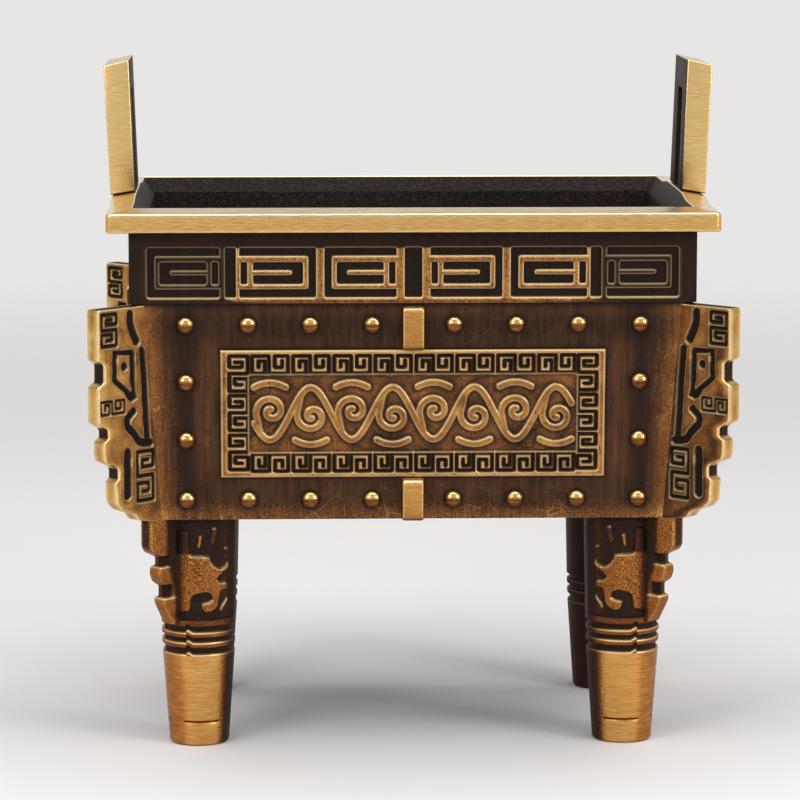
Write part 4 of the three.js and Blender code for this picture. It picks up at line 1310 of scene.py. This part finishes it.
# %% [markdown]
# ## Floor, light and camera
#
# A pale plain floor runs into a background of the same tone. Polished metal shows what
# surrounds it, so the background is pale along the horizon and a little darker overhead, and
# soft lamps above and beside give the highlights.

# %% Floor and background
BACKGROUND = displayed(232, 230, 228)
OVERHEAD = displayed(150, 150, 152)
floor_reach = 40.0
floor_mesh = bpy.data.meshes.new("floor")
floor_corners = [(x * floor_reach, y * floor_reach, 0) for x, y in ((-1, -1), (1, -1), (1, 1), (-1, 1))]
floor_mesh.from_pydata(floor_corners, [], [(0, 1, 2, 3)])
floor = bpy.data.objects.new("floor", floor_mesh)
bpy.context.scene.collection.objects.link(floor)


def shown_to_metal(shader, first, second, share, end):
    """Mixes two shaders into a tree's end: the second only for rays from the camera or off metal."""
    rays = shader.add("LightPath").socket.node.outputs
    camera, glossy, through = (Wire(shader.tree, rays["Is " + kind + " Ray"])
                               for kind in ("Camera", "Glossy", "Transmission"))
    blend = shader.add("MixShader", Fac=share * camera.larger(glossy).larger(through)).socket
    inputs = blend.node.inputs
    for source, socket in ((first, inputs[1]), (second, inputs[2]), (blend, end.inputs["Surface"])):
        shader.tree.links.new(source, socket)


ground = bpy.data.materials.new("pale floor")
ground.use_nodes = True
nodes = ground.node_tree.nodes
shader = Shader(ground.node_tree)
surface = nodes["Principled BSDF"]
surface.inputs["Base Color"].default_value = displayed(226, 224, 222)
surface.inputs["Roughness"].default_value = 0.9
away = shader.add("VectorMath", {"operation": "LENGTH"}, output="Value", Vector=shader.place())
glow = shader.add("Emission", Color=BACKGROUND).socket
shown_to_metal(shader, surface.outputs[0], glow, shader.step(away, 0.35, 1.5), nodes["Material Output"])
floor_mesh.materials.append(ground)

world = bpy.data.worlds.new("studio")
bpy.context.scene.world = world
world.use_nodes = True
nodes = world.node_tree.nodes
air = Shader(world.node_tree)
rise = air.add("SeparateXYZ", output="Z", Vector=air.add("TexCoord", output="Generated"))
sky = air.blend(air.step(rise, 0.20, 0.80), BACKGROUND, OVERHEAD)
seen = air.add("Background", Color=sky, Strength=1.0).socket
fill = nodes["Background"]
fill.inputs["Color"].default_value = displayed(236, 238, 242)
fill.inputs["Strength"].default_value = 0.55
shown_to_metal(air, fill.outputs[0], seen, 1.0, nodes["World Output"])

# %% Lamps


def lamp(name, place, aim, size, power):
    light = bpy.data.lights.new(name, "AREA")
    light.shape = "RECTANGLE"
    light.size, light.size_y = size
    light.energy = power
    lit = bpy.data.objects.new(name, light)
    bpy.context.scene.collection.objects.link(lit)
    lit.location = place
    lit.rotation_euler = (Vector(aim) - Vector(place)).to_track_quat("-Z", "Y").to_euler()


centre = (0.0, 0.0, 0.11)
lamp("overhead soft box", (0.0, -0.15, 1.2), centre, (1.5, 1.2), 13)
lamp("front left soft box", (-0.75, -0.95, 0.60), centre, (0.5, 0.5), 3.5)
lamp("front right soft box", (0.95, -0.75, 0.50), centre, (0.4, 0.5), 4.5)

# %% Camera
camera_place = (-45.605, -1295.772, 294.686)
camera_yaw, camera_pitch, camera_roll = 0.03341, 0.14185, 0.00035
focal_pixels = 3799.9
frame_pixels = 800
sensor = 36.0


def camera_axes(yaw, pitch, roll):
    ahead = Vector((math.sin(yaw) * math.cos(pitch), math.cos(yaw) * math.cos(pitch), -math.sin(pitch)))
    right = Vector((math.cos(yaw), -math.sin(yaw), 0.0))
    up = right.cross(ahead)
    c, s = math.cos(roll), math.sin(roll)
    return right * c + up * s, up * c - right * s, ahead


eye = bpy.data.cameras.new("camera")
eye.sensor_width = sensor
eye.sensor_fit = "HORIZONTAL"
eye.lens = sensor * focal_pixels / frame_pixels
eye.clip_start, eye.clip_end = 0.05, 200.0
camera = bpy.data.objects.new("camera", eye)
bpy.context.scene.collection.objects.link(camera)
right, up, ahead = camera_axes(camera_yaw, camera_pitch, camera_roll)
turn = Matrix((right, up, -ahead)).transposed().to_4x4()
camera.matrix_world = Matrix.Translation(Vector(camera_place) * MM) @ turn
bpy.context.scene.camera = camera
bpy.context.scene.view_settings.view_transform = "Standard"
print("lens", round(eye.lens, 2))
